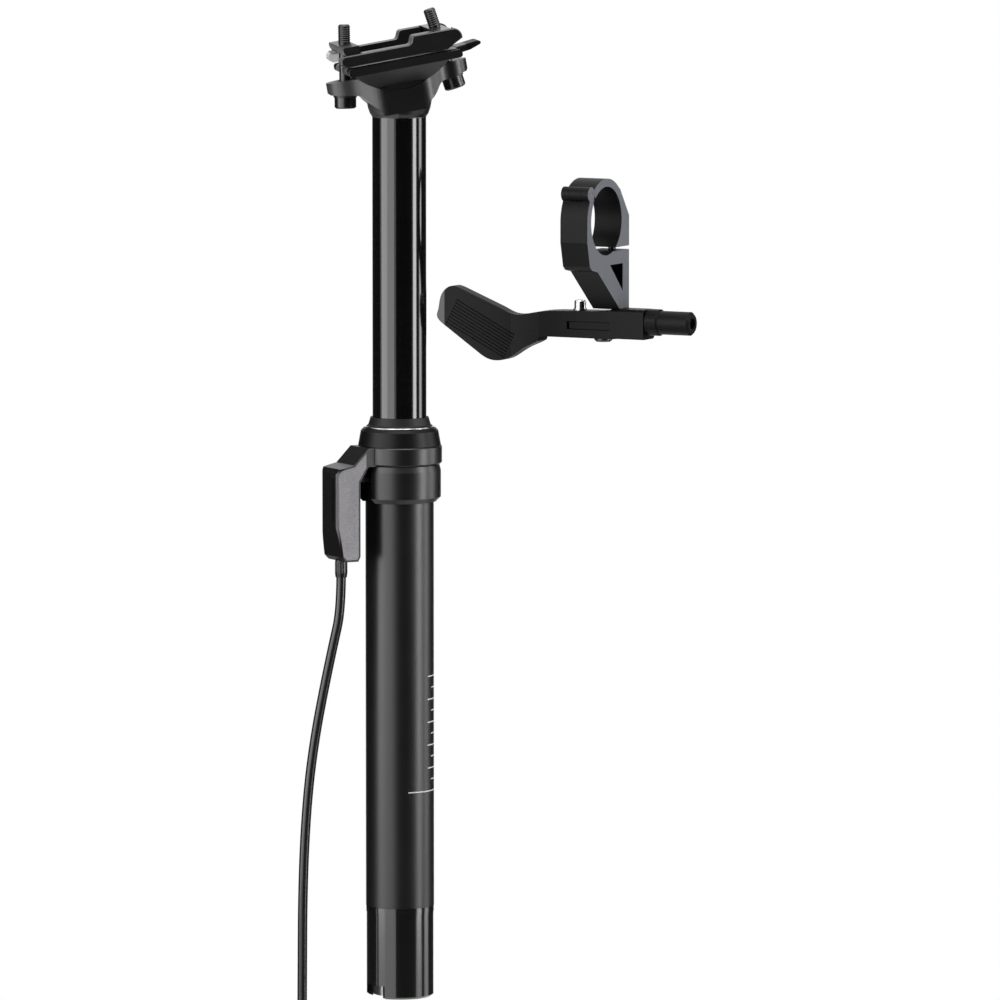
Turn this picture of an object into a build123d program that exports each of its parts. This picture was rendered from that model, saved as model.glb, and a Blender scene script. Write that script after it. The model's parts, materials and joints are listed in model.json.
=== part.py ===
"""A dropper seatpost for a bicycle, with its cable actuator, its cable casing and its bar lever.

Frame: millimetres, +Z up along the post, the origin on the post's axis at the minimum insertion line.
+X points to the rear of the bicycle and -Y to its left side. The post stands fully extended."""

import os
from math import asin, cos, degrees, pi, radians, sin, sqrt, tan

from build123d import *

os.makedirs("parts", exist_ok=True)

# Shared clearances
overrun = 1.0  # how far a cut runs past the face that it opens
bond_gap = 0.02  # between two pieces that are glued, pressed or screwed together
running_gap = 0.05  # between a shaft and the hole that it turns or slides in
soft_gap = 0.1  # between the wiper's lip and the stanchion
seat_gap = 0.1  # between two flat faces that meet

# Outer tube and what is screwed to it
tube_radius = 15.8
tube_wall = 1.65
tube_bottom = -52.4
tube_bore = tube_radius - tube_wall
tube_step = 0.3  # how much thinner the tube is turned above its shoulder, under the collar and the nut
seat_radius = tube_radius - tube_step
collar_radius = 19.1
collar_bottom = 135.6
collar_height = 17.1
collar_top = collar_bottom + collar_height
collar_lip = 2.2  # height of the lower chamfer
collar_foot_radius = 17.0
collar_crown = 2.6  # height of the upper chamfer
collar_crown_radius = 18.4
collar_slot = 12.4  # width of the slot that the actuator reaches through
band_height = 9.0  # between the collar and the nut, where the actuator's ring lies
nut_bottom = collar_top + band_height
nut_depth = 7.9
nut_top = nut_bottom + nut_depth
nut_radius = 19.1
nut_shoulder_radius = 17.9
nut_crown_radius = 16.7
nut_crown = 1.3
wiper_flange_radius = 15.2
wiper_root_radius = 14.4
wiper_rise = 5.0
wiper_tip = nut_top + wiper_rise
wiper_tip_wall = 0.8
wiper_flare = 3.4
scraper_radius = 16.0
scraper_height = 0.7
bushing_height = 10.5
cap_depth = 3.6  # from the tube's end up to the top of the nut
tube_top = nut_top - cap_depth
bushing_top = tube_top - seat_gap

# Stanchion and what moves with it
stanchion_radius = 12.5
stanchion_wall = 1.5
stanchion_bottom = 93.0
stanchion_top = 312.8
stanchion_bore = stanchion_radius - stanchion_wall
foot_height = 4.0
guide_height = 20.0
guide_step = 0.8  # how deep the guide bushing is let into the stanchion
key_count = 3
key_width = 2.6
key_height = 12.0
key_sink = 0.6  # how deep a key's keyway is cut into the outer tube
cartridge_radius = 9.5
cartridge_wall = 1.3
cartridge_height = 166.0
gland_height = 9.0
plug_height = 7.0
carrier_height = 8.0

# Piston rod, valve pin and base of the post
rod_radius = 4.0
rod_bore = 1.6
pin_radius = 1.53
piston_height = 10.0
piston_rise = 14.0  # from the cartridge's gland to the piston, fully extended
cap_flange_height = 2.6
cap_radius = 15.6
cap_bore = 12.5
cap_spigot_height = 12.0
cap_web_drop = 4.7  # from the end of the outer tube down to the web
cap_web_top = tube_bottom - cap_web_drop
base_drop = 13.9  # from the web down to the base pin
base_height = cap_web_top - base_drop
cap_web = 5.0
cap_chamfer = 1.0
cap_notch_height = 6.0
cap_notch_half = 9.0
plug_drop = 17.9  # from the base pin down to the plug
plug_floor = base_height - plug_drop
plug_depth = 6.0
cap_bottom = plug_floor - plug_depth
rod_nut_radius = 5.5
rod_nut_height = 4.0
pin_travel = 1.2

# Pull rod in the gap between the tubes, with its two rockers
lift = 3.0
pull_radius = 0.5
pull_share = 0.485  # where the pull rod lies in the gap, counted from the outer tube
pull_place = tube_bore - pull_share * (tube_bore - stanchion_radius)
pull_head_height = 2.6
pull_head_width = 3.2
pull_head_depth = 1.0
pull_slack = 0.2
rocker_place = 26.3
rocker_drop = 8.1  # from the upper bushing down to the rocker's pin
rocker_height = bushing_top - bushing_height - rocker_drop
rocker_hub = 3.0
rocker_thickness = 5.0
finger_depth = 2.2
cable_arm = 4.0
eye_radius = 3.2
nipple_radius = 1.9
nipple_gap = 0.3
rocker_pin_radius = 1.3
fork_slot = 1.8
base_place = 9.0
base_depth = 2.4
base_hub = 3.0
base_pin_radius = 1.3
base_thickness = 5.0
lug_width = 2.0
channel_half = 2.75

# Actuator housing on the collar
actuator_turn = 19.4  # degrees, from the front towards the left side
ring_gap = 0.2
housing_bottom = collar_top + ring_gap
housing_top = nut_bottom - ring_gap
housing_ring_wall = 3.8
housing_ring_radius = tube_radius + housing_ring_wall
ring_chamfer = 0.9
box_front = 36.6
box_back = 24.9
box_width = 18.1
box_rise = 0.5
box_top = collar_top + box_rise
box_height = 43.7
box_bottom = box_top - box_height
box_corner = 3.2
box_chin = 16.5  # height over which the front leans in, above the bottom
box_lean = 2.2
brow = 1.6
throat_drop = 6.7
throat_height = collar_top - throat_drop
arm_root = 20.7
cavity_wall = 2.0
cavity_far_wall = 4.0
cover_thickness = 1.5
cover_inset = 0.9
cover_reach = 21.8
insert_width = 9.2
insert_height = 22.0
insert_depth = 1.2
insert_rise = 18.0
insert_corner = 2.0
insert_proud = 0.4

# Barrel adjuster, inner wire and casing
casing_radius = 2.25
wire_radius = 0.6
adjuster_radius = 2.9
adjuster_tip_radius = 2.6
adjuster_drop = 7.8
adjuster_bottom = box_bottom - adjuster_drop
adjuster_thread_radius = 2.4
adjuster_inside = 6.0
adjuster_bore = 1.0
adjuster_floor = 2.0
casing_socket = 4.0  # how far the casing enters the adjuster
knurl_count = 10
knurl_radius = 0.45
ferrule_radius = 2.8
ferrule_length = 12.0
ferrule_wall = 0.3

# Coil of spare casing: the turns spiral in and out again, in two layers
coil_radius = 34.5
coil_pitch = 5.6
coil_turns = 6
coil_climb = 7.4
coil_height = -152.0
gap_points_per_turn = 48
near_radii = 6  # points closer along the cord than this many radii aren't compared
tie_width = 6.0
tie_wall = 1.0
tie_gap = 0.3

# Saddle clamp, in a frame of its own that leans with the seat tube
head_tilt = 10.0  # degrees, the rear end up
clamp_x = -1.5
clamp_z = 344.3
trough_x = -1.8  # the middle of the trough and of the two bolts, ahead of the plates' middle
trough_z = 9.9
trough_radius = 27.7
head_top = -10.0
head_reach = 33.0
head_half_width = 15.8
head_flank = 8.0  # half the length of the head's flat sides
head_corner = 1.2
web_points = [(-16.4, -20.9), (-13.6, -23.9), (-10.4, -28.4)]
web_start = 20.4
# How far the neck stands out from the stanchion, and up above its end
neck_flare = [(0.0, 0.3), (1.0, 1.8), (1.9, 4.4), (2.6, 8.2), (2.9, 11.5)]
spigot_length = 22.0
ear_thickness = 6.6
ear_half = 8.4
ear_rim = 1.2  # how far the flat under each ear runs past the washer
bolt_lean = 9.0  # degrees, each bolt leans in towards its nut
bolt_radius = 2.6
bolt_half_gap = 21.5
bolt_head_radius = 5.0
bolt_head_height = 5.0
bolt_end_chamfer = 0.5
bolt_head_chamfer = 0.6
bolt_length = 32.2
bolt_hole_gap = 0.4
socket_share = 0.5  # the socket's width across flats, as a share of the head's diameter
socket_depth = 2.5
washer_thickness = 1.2
nut_rise = 5.2
nut_barrel_radius = 3.8
nut_flat = 1.2
nut_seat_slack = 0.95
rail_radius = 3.5
rail_gap_half = 22.0
rail_drop = 3.0
plate_top = 2.6
plate_bottom = -2.5
plate_half_width = 5.0
plate_front = 29.2
plate_nose = 1.6
plate_rear = 27.8
plate_heel = 20.2  # where the underside starts to rise, so that the rails can bend away
plate_heel_rise = 4.0
plate_step = 2.5  # where the top steps up to the boss round the rear nut
plate_step_run = 4.0
plate_boss_top = 6.4
plate_boss_round = 4.2
plate_wall = 1.6  # closes each nut's pocket on the outer side
plate_edge = 0.5
cradle_top = -3.6
cradle_bottom = -7.3
cradle_half = 26.5
cradle_half_width = 27.0
cradle_waist = 15.2
cradle_edge = 0.9
cradle_slot_start = 18.4

# Bar lever, in a frame of its own: x along the handlebar, y across it, z up
remote_turn = -35.6
remote_x = 90.2
remote_z = 264.1
bar_radius = 15.9
jaw_width = 14.0
jaw_wall = 3.7
jaw_flat = 23.6
jaw_shoulder = 1.3
jaw_brow_share = 0.72
back_shares = [(-1.0, 0.0), (-1.0, -0.46), (-0.86, -1.03), (-0.75, -1.12), (-0.45, -1.18)]
split_drop = 13.65
split_gap = 1.7
knuckle_turn = 140.0  # degrees round the bar, from the cross axis
knuckle_out = 0.9
knuckle_radius = 3.4
knuckle_pin_radius = 1.3
knuckle_share = 0.44
knuckle_root_share = 0.6
jaw_end_turn = 5.0
stem_bottom = -41.9
stem_foot = 14.3
stem_window = [(3.7, -20.6), (17.0, -20.6), (17.0, -33.5)]
jaw_bolt_radius = 1.8
jaw_bolt_slack = 0.6
jaw_bolt_head = 2.9
jaw_head_slack = 0.4
jaw_head_height = 3.6
jaw_bolt_place = 19.9
jaw_bolt_sink = 6.5
jaw_bolt_depth = 12.0
lever_across = 19.0
lever_edge = 1.0
block_end = 19.4
block_height = 13.8
block_width = 12.0
tongue_middle = -50.2
tongue_height = 3.2
tongue_half = 4.6
pivot_place = -4.0
pivot_radius = 2.5
pivot_head = 4.2
pivot_head_height = 1.6
root_radius = 8.3
barrel_middle = -47.7
barrel_base_length = 6.6
barrel_base_radius = 6.2
barrel_length = 16.0
barrel_radius = 5.5
barrel_neck = 3.0
barrel_depth = 6.0
barrel_bore = 2.6
barrel_counterbore = 9.0
barrel_knurl_count = 12
lever_length = 93.0
lever_rise = 34.0
lever_drop = -68.3
lever_slot_length = 33.0
tongue_reach = 15.4
ring_clearance = 0.15
lever_thick_root = 10.0
lever_thick_tip = 6.4
tine_gap = 0.3
pinch_place = -16.0
pinch_radius = 3.2
pinch_height = 2.4
pinch_chamfer = 0.48
pinch_head_share = 0.85
pinch_stem_radius = 1.5
pad_middle_share = (0.76, 0.43)
rib_count = 9
rib_pitch = 1.5
rib_width = 0.7
rib_depth = 0.6
rib_length = 34.0
rib_slope = 27.0

# Outline of the lever, from its pivot end: how far along its length, and how far up its rise
arm_top_shares = [(0.0, 0.747), (0.335, 0.72)]
crook_shares = [(0.335, 0.72), (0.471, 0.675), (0.59, 0.655), (0.66, 0.735)]
pad_top_shares = [(0.66, 0.735), (0.86, 0.955)]
pad_tip_shares = [(0.86, 0.955), (0.93, 0.995), (0.98, 0.88), (1.0, 0.66), (0.972, 0.47)]
pad_side_shares = [(0.972, 0.47), (0.76, 0.075)]
pad_heel_shares = [(0.76, 0.075), (0.69, 0.0), (0.606, 0.035), (0.512, 0.19), (0.43, 0.305), (0.346, 0.362)]
arm_bottom_shares = [(0.346, 0.362), (0.0, 0.362)]

# Route of the casing from the barrel adjuster to the coil
arc_run_share = 0.45
exit_x = -(rocker_place + cable_arm) * cos(radians(actuator_turn))
exit_y = -(rocker_place + cable_arm) * sin(radians(actuator_turn))
route_top = adjuster_bottom + casing_socket
route_bottom = coil_height + 2 * casing_radius
route_shares = [
    (exit_x, exit_y, 1.0),
    (exit_x, exit_y, 0.926),
    (-32.4, -9.8, 0.859),
    (-36.6, -9.6, 0.78),
    (-40.6, -9.5, 0.697),
    (-43.8, -9.7, 0.606),
    (-45.8, -10.0, 0.504),
    (-46.8, -10.2, 0.393),
    (-47.0, -10.0, 0.2745),
    (-47.2, -10.1, 0.164),
    (-47.2, -10.1, 0.0),
]
casing_route = [(x, y, route_bottom + share * (route_top - route_bottom)) for x, y, share in route_shares]


# Helpers


def rod(radius, bottom, top):
    """A round bar on the Z axis."""
    return Pos(0, 0, (bottom + top) / 2) * Cylinder(radius, top - bottom)


def ring(outer, inner, bottom, top):
    """A plain ring on the Z axis."""
    return rod(outer, bottom, top) - rod(inner, bottom - overrun, top + overrun)


def turned(points):
    """A solid turned about the Z axis from radius and height pairs."""
    outline = Polyline(*[(x, 0, z) for x, z in points], close=True)
    return revolve(make_face(outline), Axis.Z)


def slab(points, half_width):
    """A side outline, as x and z pairs, given the same width on both sides of the XZ plane."""
    outline = Polyline(*[(x, 0, z) for x, z in points], close=True)
    return thick(make_face(outline), -half_width, half_width)


def thick(face, low, high):
    """A face in the XZ plane, extruded from one y to another."""
    return Pos(0, low, 0) * extrude(face, amount=high - low, dir=(0, 1, 0))


def cross_rod(radius, x, z, low, high):
    """A round bar along Y."""
    return Pos(x, (low + high) / 2, z) * Rot(90, 0, 0) * Cylinder(radius, high - low)


def block(low, high):
    """A box between two corners."""
    size = [b - a for a, b in zip(low, high)]
    middle = [(a + b) / 2 for a, b in zip(low, high)]
    return Pos(*middle) * Box(*size)


def hexagon(radius, bottom, top):
    """A six-sided bar on the Z axis; radius is half its width across flats."""
    return Pos(0, 0, bottom) * extrude(RegularPolygon(radius, 6, major_radius=False), amount=top - bottom)


def round_about(shape, count):
    """Copies of a shape, evenly spaced about the Z axis."""
    return [Rot(0, 0, 360 * k / count) * shape for k in range(count)]


def save(name, shape):
    """Write one sub-part, as a compound of its solids."""
    solids = shape.solids() if hasattr(shape, "solids") else [s for one in shape for s in one.solids()]
    export_step(Compound(children=list(solids)) if len(solids) > 1 else solids[0], f"parts/{name}.step")


at_actuator = Rot(0, 0, actuator_turn)
at_clamp = Pos(clamp_x, 0, clamp_z) * Rot(0, -head_tilt, 0)
at_remote = Pos(remote_x, 0, remote_z) * Rot(0, 0, remote_turn)


# Outer tube, collar, nut and seals


def outer_tube():
    body = ring(tube_radius, tube_bore, tube_bottom, tube_top)
    body -= ring(tube_radius + overrun, seat_radius, collar_bottom, tube_top + overrun)
    keyway = block(
        (0, -key_width / 2 - running_gap, tube_bottom - overrun),
        (tube_bore + key_sink, key_width / 2 + running_gap, bushing_top - bushing_height),
    )
    for cut in round_about(keyway, key_count):
        body -= cut
    half = rocker_thickness / 2 + running_gap + seat_gap
    window = block(
        (-tube_radius - overrun, -half, rocker_height - finger_depth - lift / 2 - seat_gap),
        (-stanchion_radius, half, rocker_height + finger_depth + lift + pull_head_height / 2),
    )
    return body - at_actuator * window


def tube_collar():
    inner = seat_radius + bond_gap
    body = turned(
        [
            (inner, collar_bottom),
            (collar_foot_radius, collar_bottom),
            (collar_radius, collar_bottom + collar_lip),
            (collar_radius, collar_top - collar_crown),
            (collar_crown_radius, collar_top),
            (inner, collar_top),
        ]
    )
    slot = block(
        (-collar_radius - overrun, -collar_slot / 2, collar_bottom - overrun),
        (-tube_radius + tube_wall, collar_slot / 2, collar_top + overrun),
    )
    return body - at_actuator * slot


def top_nut():
    inner = seat_radius + bond_gap
    return turned(
        [
            (inner, nut_bottom),
            (nut_radius, nut_bottom),
            (nut_shoulder_radius, nut_top - nut_crown),
            (nut_crown_radius, nut_top),
            (wiper_root_radius, nut_top),
            (wiper_root_radius, tube_top + seat_gap),
            (inner, tube_top + seat_gap),
        ]
    )


def wiper_seal():
    lip = stanchion_radius + soft_gap
    stem = wiper_root_radius - bond_gap
    return turned(
        [
            (lip, tube_top + seat_gap),
            (stem, tube_top + seat_gap),
            (stem, nut_top + seat_gap),
            (wiper_flange_radius, nut_top + seat_gap),
            (wiper_flange_radius, nut_top + seat_gap + scraper_height + seat_gap),
            (wiper_root_radius, wiper_tip - wiper_flare),
            (lip + wiper_tip_wall, wiper_tip),
            (lip, wiper_tip),
        ]
    )


def scraper_ring():
    bottom = nut_top + seat_gap / 2
    inner = wiper_flange_radius + bond_gap
    body = ring(scraper_radius, inner, bottom, bottom + scraper_height)
    return chamfer(body.edges().group_by(Axis.Z)[-1].sort_by(SortBy.LENGTH)[-1], scraper_height / 3)


def upper_bushing():
    bottom = bushing_top - bushing_height
    return ring(tube_bore - bond_gap, stanchion_radius + running_gap, bottom, bushing_top)


# Stanchion, guide and gas cartridge


def stanchion_tube():
    body = ring(stanchion_radius, stanchion_bore, stanchion_bottom, stanchion_top)
    relief = ring(
        stanchion_radius + overrun,
        stanchion_radius - guide_step,
        stanchion_bottom,
        stanchion_bottom + guide_height,
    )
    return body - relief


def lower_bushing():
    body = ring(
        tube_bore - running_gap,
        stanchion_radius - guide_step + bond_gap,
        stanchion_bottom,
        stanchion_bottom + guide_height - bond_gap,
    )
    middle = stanchion_bottom + guide_height / 2
    pocket = block(
        (0, -key_width / 2 - bond_gap, middle - key_height / 2 - bond_gap),
        (tube_radius, key_width / 2 + bond_gap, middle + key_height / 2 + bond_gap),
    )
    for cut in round_about(pocket, key_count):
        body -= cut
    half = pull_head_width / 2
    passage = block(
        (-tube_radius, -half, stanchion_bottom - overrun),
        (-stanchion_radius, half, stanchion_bottom + guide_height + overrun),
    )
    return body - at_actuator * passage


def guide_keys():
    middle = stanchion_bottom + guide_height / 2
    key = block(
        (stanchion_radius - guide_step + bond_gap + bond_gap, -key_width / 2, middle - key_height / 2),
        (tube_bore + key_sink - seat_gap, key_width / 2, middle + key_height / 2),
    )
    inner = rod(stanchion_radius - guide_step + bond_gap, middle - key_height, middle + key_height)
    return [one - inner for one in round_about(key, key_count)]


def stanchion_foot():
    bottom = stanchion_bottom - foot_height
    inner = rod_radius + seat_gap + running_gap
    body = ring(stanchion_radius - bond_gap, inner, bottom, stanchion_bottom - bond_gap)
    slot = block(
        (-stanchion_radius, -foot_height / 4, bottom - overrun),
        (stanchion_radius, foot_height / 4, bottom + foot_height / 4),
    )
    return body - slot


def cartridge_tube():
    bottom = stanchion_bottom + seat_gap / 2
    return ring(cartridge_radius, cartridge_radius - cartridge_wall, bottom, bottom + cartridge_height)


def cartridge_gland():
    bottom = stanchion_bottom + seat_gap / 2
    outer = cartridge_radius - cartridge_wall - bond_gap
    return ring(outer, rod_radius + running_gap, bottom, bottom + gland_height)


def cartridge_plug():
    top = stanchion_bottom + seat_gap / 2 + cartridge_height
    return rod(cartridge_radius - cartridge_wall - bond_gap, top - plug_height, top)


def cartridge_carrier():
    bottom = stanchion_bottom + seat_gap / 2 + cartridge_height - carrier_height
    return ring(stanchion_bore - bond_gap, cartridge_radius + bond_gap, bottom, bottom + carrier_height)


# Piston rod, base and release linkage


def piston_rod():
    bottom = cap_web_top - cap_web - rod_nut_height
    top = stanchion_bottom + gland_height + piston_rise + piston_height
    body = rod(rod_radius, bottom, top)
    return body - rod(rod_bore, bottom - overrun, top - piston_height)


def rod_piston():
    bottom = stanchion_bottom + gland_height + piston_rise
    outer = cartridge_radius - cartridge_wall - running_gap
    return ring(outer, rod_radius + bond_gap, bottom, bottom + piston_height - seat_gap)


def rod_nut():
    top = cap_web_top - cap_web - seat_gap
    bottom = top - rod_nut_height + seat_gap
    return hexagon(rod_nut_radius, bottom, top) - rod(rod_radius + bond_gap, bottom - overrun, top + overrun)


def end_cap():
    flange_top = tube_bottom - seat_gap
    flange_bottom = flange_top - cap_flange_height
    spigot_top = tube_bottom + cap_spigot_height
    body = turned(
        [
            (0, cap_bottom),
            (cap_radius - cap_chamfer, cap_bottom),
            (cap_radius, cap_bottom + cap_chamfer),
            (cap_radius, flange_bottom),
            (tube_radius, flange_bottom),
            (tube_radius, flange_top),
            (tube_bore - bond_gap, flange_top),
            (tube_bore - bond_gap, spigot_top),
            (0, spigot_top),
        ]
    )
    body -= rod(cap_bore, cap_bottom - overrun, cap_web_top - cap_web)
    body -= rod(stanchion_bore, cap_web_top, spigot_top + overrun)
    body -= rod(rod_radius + bond_gap, cap_web_top - cap_web - overrun, cap_web_top + overrun)
    channel = block(
        (-pull_place - pull_head_depth, -channel_half, base_height - 2 * lift - pull_head_height),
        (-stanchion_bore + overrun, channel_half, spigot_top + overrun),
    )
    notch = block(
        (-cap_radius - overrun, -cap_notch_half, cap_bottom - overrun),
        (-cap_bore + overrun, cap_notch_half, cap_bottom + cap_notch_height),
    )
    body -= at_actuator * channel
    body -= at_actuator * notch
    for side in (-1, 1):
        middle = side * (base_thickness / 2 + running_gap + lug_width / 2)
        lug = slab(
            [
                (base_place - base_hub, cap_web_top - cap_web + overrun),
                (base_place - base_hub, base_height - base_hub),
                (base_place + base_hub / 2, base_height - base_hub),
                (base_place + base_hub / 2, cap_web_top - cap_web + overrun),
            ],
            lug_width / 2,
        )
        lug -= cross_rod(base_pin_radius + bond_gap, base_place, base_height, -cap_bore, cap_bore)
        body += at_actuator * Pos(0, middle, 0) * lug
    return body


def base_plug():
    body = rod(cap_bore - bond_gap, cap_bottom + cap_chamfer, plug_floor)
    recess = hexagon(rod_nut_radius, cap_bottom, cap_bottom + cap_chamfer + (plug_floor - cap_bottom) / 2)
    return body - recess


def base_pin():
    half = base_thickness / 2 + lug_width
    return at_actuator * cross_rod(base_pin_radius, base_place, base_height, -half, half)


def base_rocker():
    """A bar hung from a pin behind the axis: the pull rod lifts its far end, and its middle lifts the pin."""
    rest = degrees(asin(lift / 2 / (base_place + pull_place)))
    reach = base_place + pull_place + pull_head_depth / 2
    half = base_thickness / 2
    bar = slab(
        [(0, -base_depth / 2), (-reach, -base_depth / 2), (-reach, base_depth / 2), (0, base_depth / 2)],
        half,
    )
    bar += cross_rod(base_hub - running_gap, 0, 0, -half, half)
    bar -= cross_rod(base_pin_radius + running_gap, 0, 0, -half - overrun, half + overrun)
    bar -= block(
        (-reach - overrun, -fork_slot / 2, -base_depth),
        (-reach + pull_head_depth + fork_slot / 2, fork_slot / 2, base_depth),
    )
    return at_actuator * Pos(base_place, 0, base_height) * Rot(0, -rest, 0) * bar


def valve_pin():
    """A long pin in the hollow rod. The base rocker pushes it up to open the valve."""
    drop = base_place * lift / 2 / (base_place + pull_place)
    bottom = base_height + base_depth / 2 - drop + 3 * seat_gap
    top = stanchion_bottom + gland_height + piston_rise - pin_travel - overrun
    return rod(pin_radius, bottom, top)


def pull_rod():
    """A thin rod between the two tubes, with a head above the upper fork and a foot under the lower one."""
    finger_top = rocker_height - lift / 2 + finger_depth / 2 + pull_slack
    bar_bottom = base_height - lift / 2 - base_depth / 2 - pull_slack
    wire = Pos(-pull_place, 0, 0) * rod(pull_radius, bar_bottom - pull_head_height, finger_top + overrun)
    head = block(
        (-pull_place - pull_head_depth / 2, -pull_head_width / 2, finger_top),
        (-pull_place + pull_head_depth / 2, pull_head_width / 2, finger_top + pull_head_height),
    )
    foot = block(
        (-pull_place - pull_head_depth / 2, -pull_head_width / 2, bar_bottom - pull_head_height),
        (-pull_place + pull_head_depth / 2, pull_head_width / 2, bar_bottom),
    )
    return at_actuator * (wire + head + foot)


# Actuator


def housing_points():
    """Side outline of the arm and the box, as x and z pairs."""
    return [
        (-seat_radius, housing_top),
        (-arm_root, housing_top),
        (-box_back - 2 * brow, box_top + brow / 2),
        (-box_front + brow, box_top - brow / 2),
        (-box_front, box_top - 2 * brow),
        (-box_front, box_bottom + box_chin),
        (-box_front + box_lean, box_bottom + box_lean),
        (-box_front + 2 * box_lean, box_bottom),
        (-box_back - box_lean / 2, box_bottom),
        (-box_back, box_bottom + box_lean),
        (-box_back, throat_height),
        (-arm_root, housing_bottom),
        (-seat_radius, housing_bottom),
    ]


def housing_face():
    return make_face(Polyline(*[(x, 0, z) for x, z in housing_points()], close=True))


def front_side(shape, limit):
    """What of a shape lies in front of x = -limit."""
    reach = box_front + overrun
    return shape & block((-reach, -reach, box_bottom - reach), (-limit, reach, box_top + reach))


def cover_solid(thickness, slack):
    """The flat cover on the left side of the box, made larger by the slack for its seat."""
    inset = cover_inset - slack
    face = offset(housing_face(), -inset, kind=Kind.INTERSECTION)
    body = thick(face, -box_width / 2 - slack, -box_width / 2 + thickness)
    return front_side(body, cover_reach - slack)


def housing_cavity():
    """The hollow for the rocker, open to the left side under the cover and to the collar's slot."""
    face = offset(housing_face(), -cavity_wall, kind=Kind.INTERSECTION)
    far = box_width / 2 - cavity_far_wall
    hollow = front_side(thick(face, -box_width / 2 - overrun, far), cover_reach + cavity_wall)
    half = rocker_thickness / 2 + 2 * running_gap + seat_gap
    swing = rocker_hub + running_gap + seat_gap
    doorway = block(
        (-rocker_place - swing, -half, rocker_height - swing),
        (-seat_radius, half, rocker_height + swing),
    )
    return hollow + doorway


def actuator_housing():
    inner = seat_radius + bond_gap
    band = turned(
        [
            (inner, housing_bottom),
            (housing_ring_radius - ring_chamfer, housing_bottom),
            (housing_ring_radius, housing_bottom + ring_chamfer),
            (housing_ring_radius, housing_top - ring_chamfer / 2),
            (housing_ring_radius - ring_chamfer / 2, housing_top),
            (inner, housing_top),
        ]
    )
    length = box_front - tube_radius
    plan = extrude(RectangleRounded(2 * length, box_width, box_corner), amount=housing_top - box_bottom)
    plan = Pos(-box_front + length, 0, box_bottom) * plan
    body = thick(housing_face(), -box_width / 2, box_width / 2) & plan
    body = body - rod(inner, box_bottom, housing_top + overrun)
    body = body + band
    body -= housing_cavity()
    body -= cover_solid(cover_thickness, running_gap)
    body -= cross_rod(rocker_pin_radius + bond_gap, -rocker_place, rocker_height, -box_width, pin_end())
    thread = adjuster_thread_radius + bond_gap + running_gap
    hole = rod(thread, box_bottom - overrun, box_bottom + 2 * adjuster_inside)
    body -= Pos(-rocker_place - cable_arm, 0, 0) * hole
    body -= insert_solid(insert_depth, running_gap)
    return at_actuator * body


def pin_end():
    return box_width / 2 - cavity_far_wall / 2


def insert_solid(depth, slack):
    """The raised panel on the front of the box."""
    width = insert_width + 2 * slack
    height = insert_height + 2 * slack
    middle = box_bottom + insert_rise + insert_height / 2
    panel = extrude(RectangleRounded(height, width, insert_corner), amount=depth + insert_proud)
    return Pos(-box_front + depth, 0, middle) * Rot(0, -90, 0) * panel


def actuator_insert():
    return at_actuator * insert_solid(insert_depth - seat_gap, 0)


def actuator_cover():
    body = cover_solid(cover_thickness - seat_gap, 0)
    return at_actuator * body


def actuator_rocker():
    """A rocker with a forked finger towards the post and an eye for the cable's nipple."""
    rest = degrees(asin(lift / 2 / (rocker_place - pull_place)))
    half = rocker_thickness / 2
    reach = rocker_place - pull_place + pull_head_depth / 4
    low, high = -finger_depth / 2, finger_depth / 2
    bar = slab([(0, low), (reach, low), (reach, high), (0, high)], half)
    bar += cross_rod(rocker_hub, 0, 0, -half, half)
    bar += cross_rod(eye_radius, -cable_arm, 0, -half, half)
    bar -= cross_rod(nipple_radius + nipple_gap, -cable_arm, 0, -half - overrun, half + overrun)
    bar -= cross_rod(rocker_pin_radius + running_gap, 0, 0, -half - overrun, half + overrun)
    bar -= block(
        (reach - pull_head_depth - fork_slot / 2, -fork_slot / 2, -finger_depth),
        (reach + overrun, fork_slot / 2, finger_depth),
    )
    wire_slot = wire_radius + nipple_gap
    bar -= block(
        (-cable_arm - 2 * wire_slot, -wire_slot, -eye_radius - overrun),
        (-cable_arm + wire_slot, wire_slot, 0),
    )
    return at_actuator * Pos(-rocker_place, 0, rocker_height) * Rot(0, rest, 0) * bar


def rocker_pin():
    return at_actuator * cross_rod(
        rocker_pin_radius,
        -rocker_place,
        rocker_height,
        -box_width / 2 + cover_thickness + seat_gap,
        pin_end() - seat_gap,
    )


def inner_cable():
    """The inner wire, with the round nipple that sits in the rocker's eye."""
    rest = asin(lift / 2 / (rocker_place - pull_place))
    eye_x = -rocker_place - cable_arm * cos(rest)
    eye_z = rocker_height + cable_arm * sin(rest)
    half = rocker_thickness / 2 - seat_gap
    nipple = cross_rod(nipple_radius, eye_x, eye_z, -half, half)
    wire = Pos(eye_x, 0, 0) * rod(wire_radius, adjuster_bottom + casing_socket + 2 * overrun, eye_z)
    return at_actuator * (nipple + wire)


def barrel_adjuster():
    inside = box_bottom + adjuster_inside
    body = turned(
        [
            (0, adjuster_bottom),
            (adjuster_tip_radius, adjuster_bottom),
            (adjuster_radius, adjuster_bottom + adjuster_floor),
            (adjuster_radius, box_bottom - seat_gap),
            (adjuster_thread_radius, box_bottom - seat_gap),
            (adjuster_thread_radius, inside),
            (0, inside),
        ]
    )
    body -= rod(adjuster_bore, adjuster_bottom, inside + overrun)
    socket_top = adjuster_bottom + casing_socket + seat_gap
    body -= rod(casing_radius + bond_gap, adjuster_bottom - overrun, socket_top)
    groove = Pos(adjuster_radius + knurl_radius / 2, 0, 0) * rod(
        knurl_radius, adjuster_bottom + adjuster_floor, box_bottom - seat_gap + overrun
    )
    for cut in round_about(groove, knurl_count):
        body -= cut
    return at_actuator * Pos(-rocker_place - cable_arm, 0, 0) * body


# Casing


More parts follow.
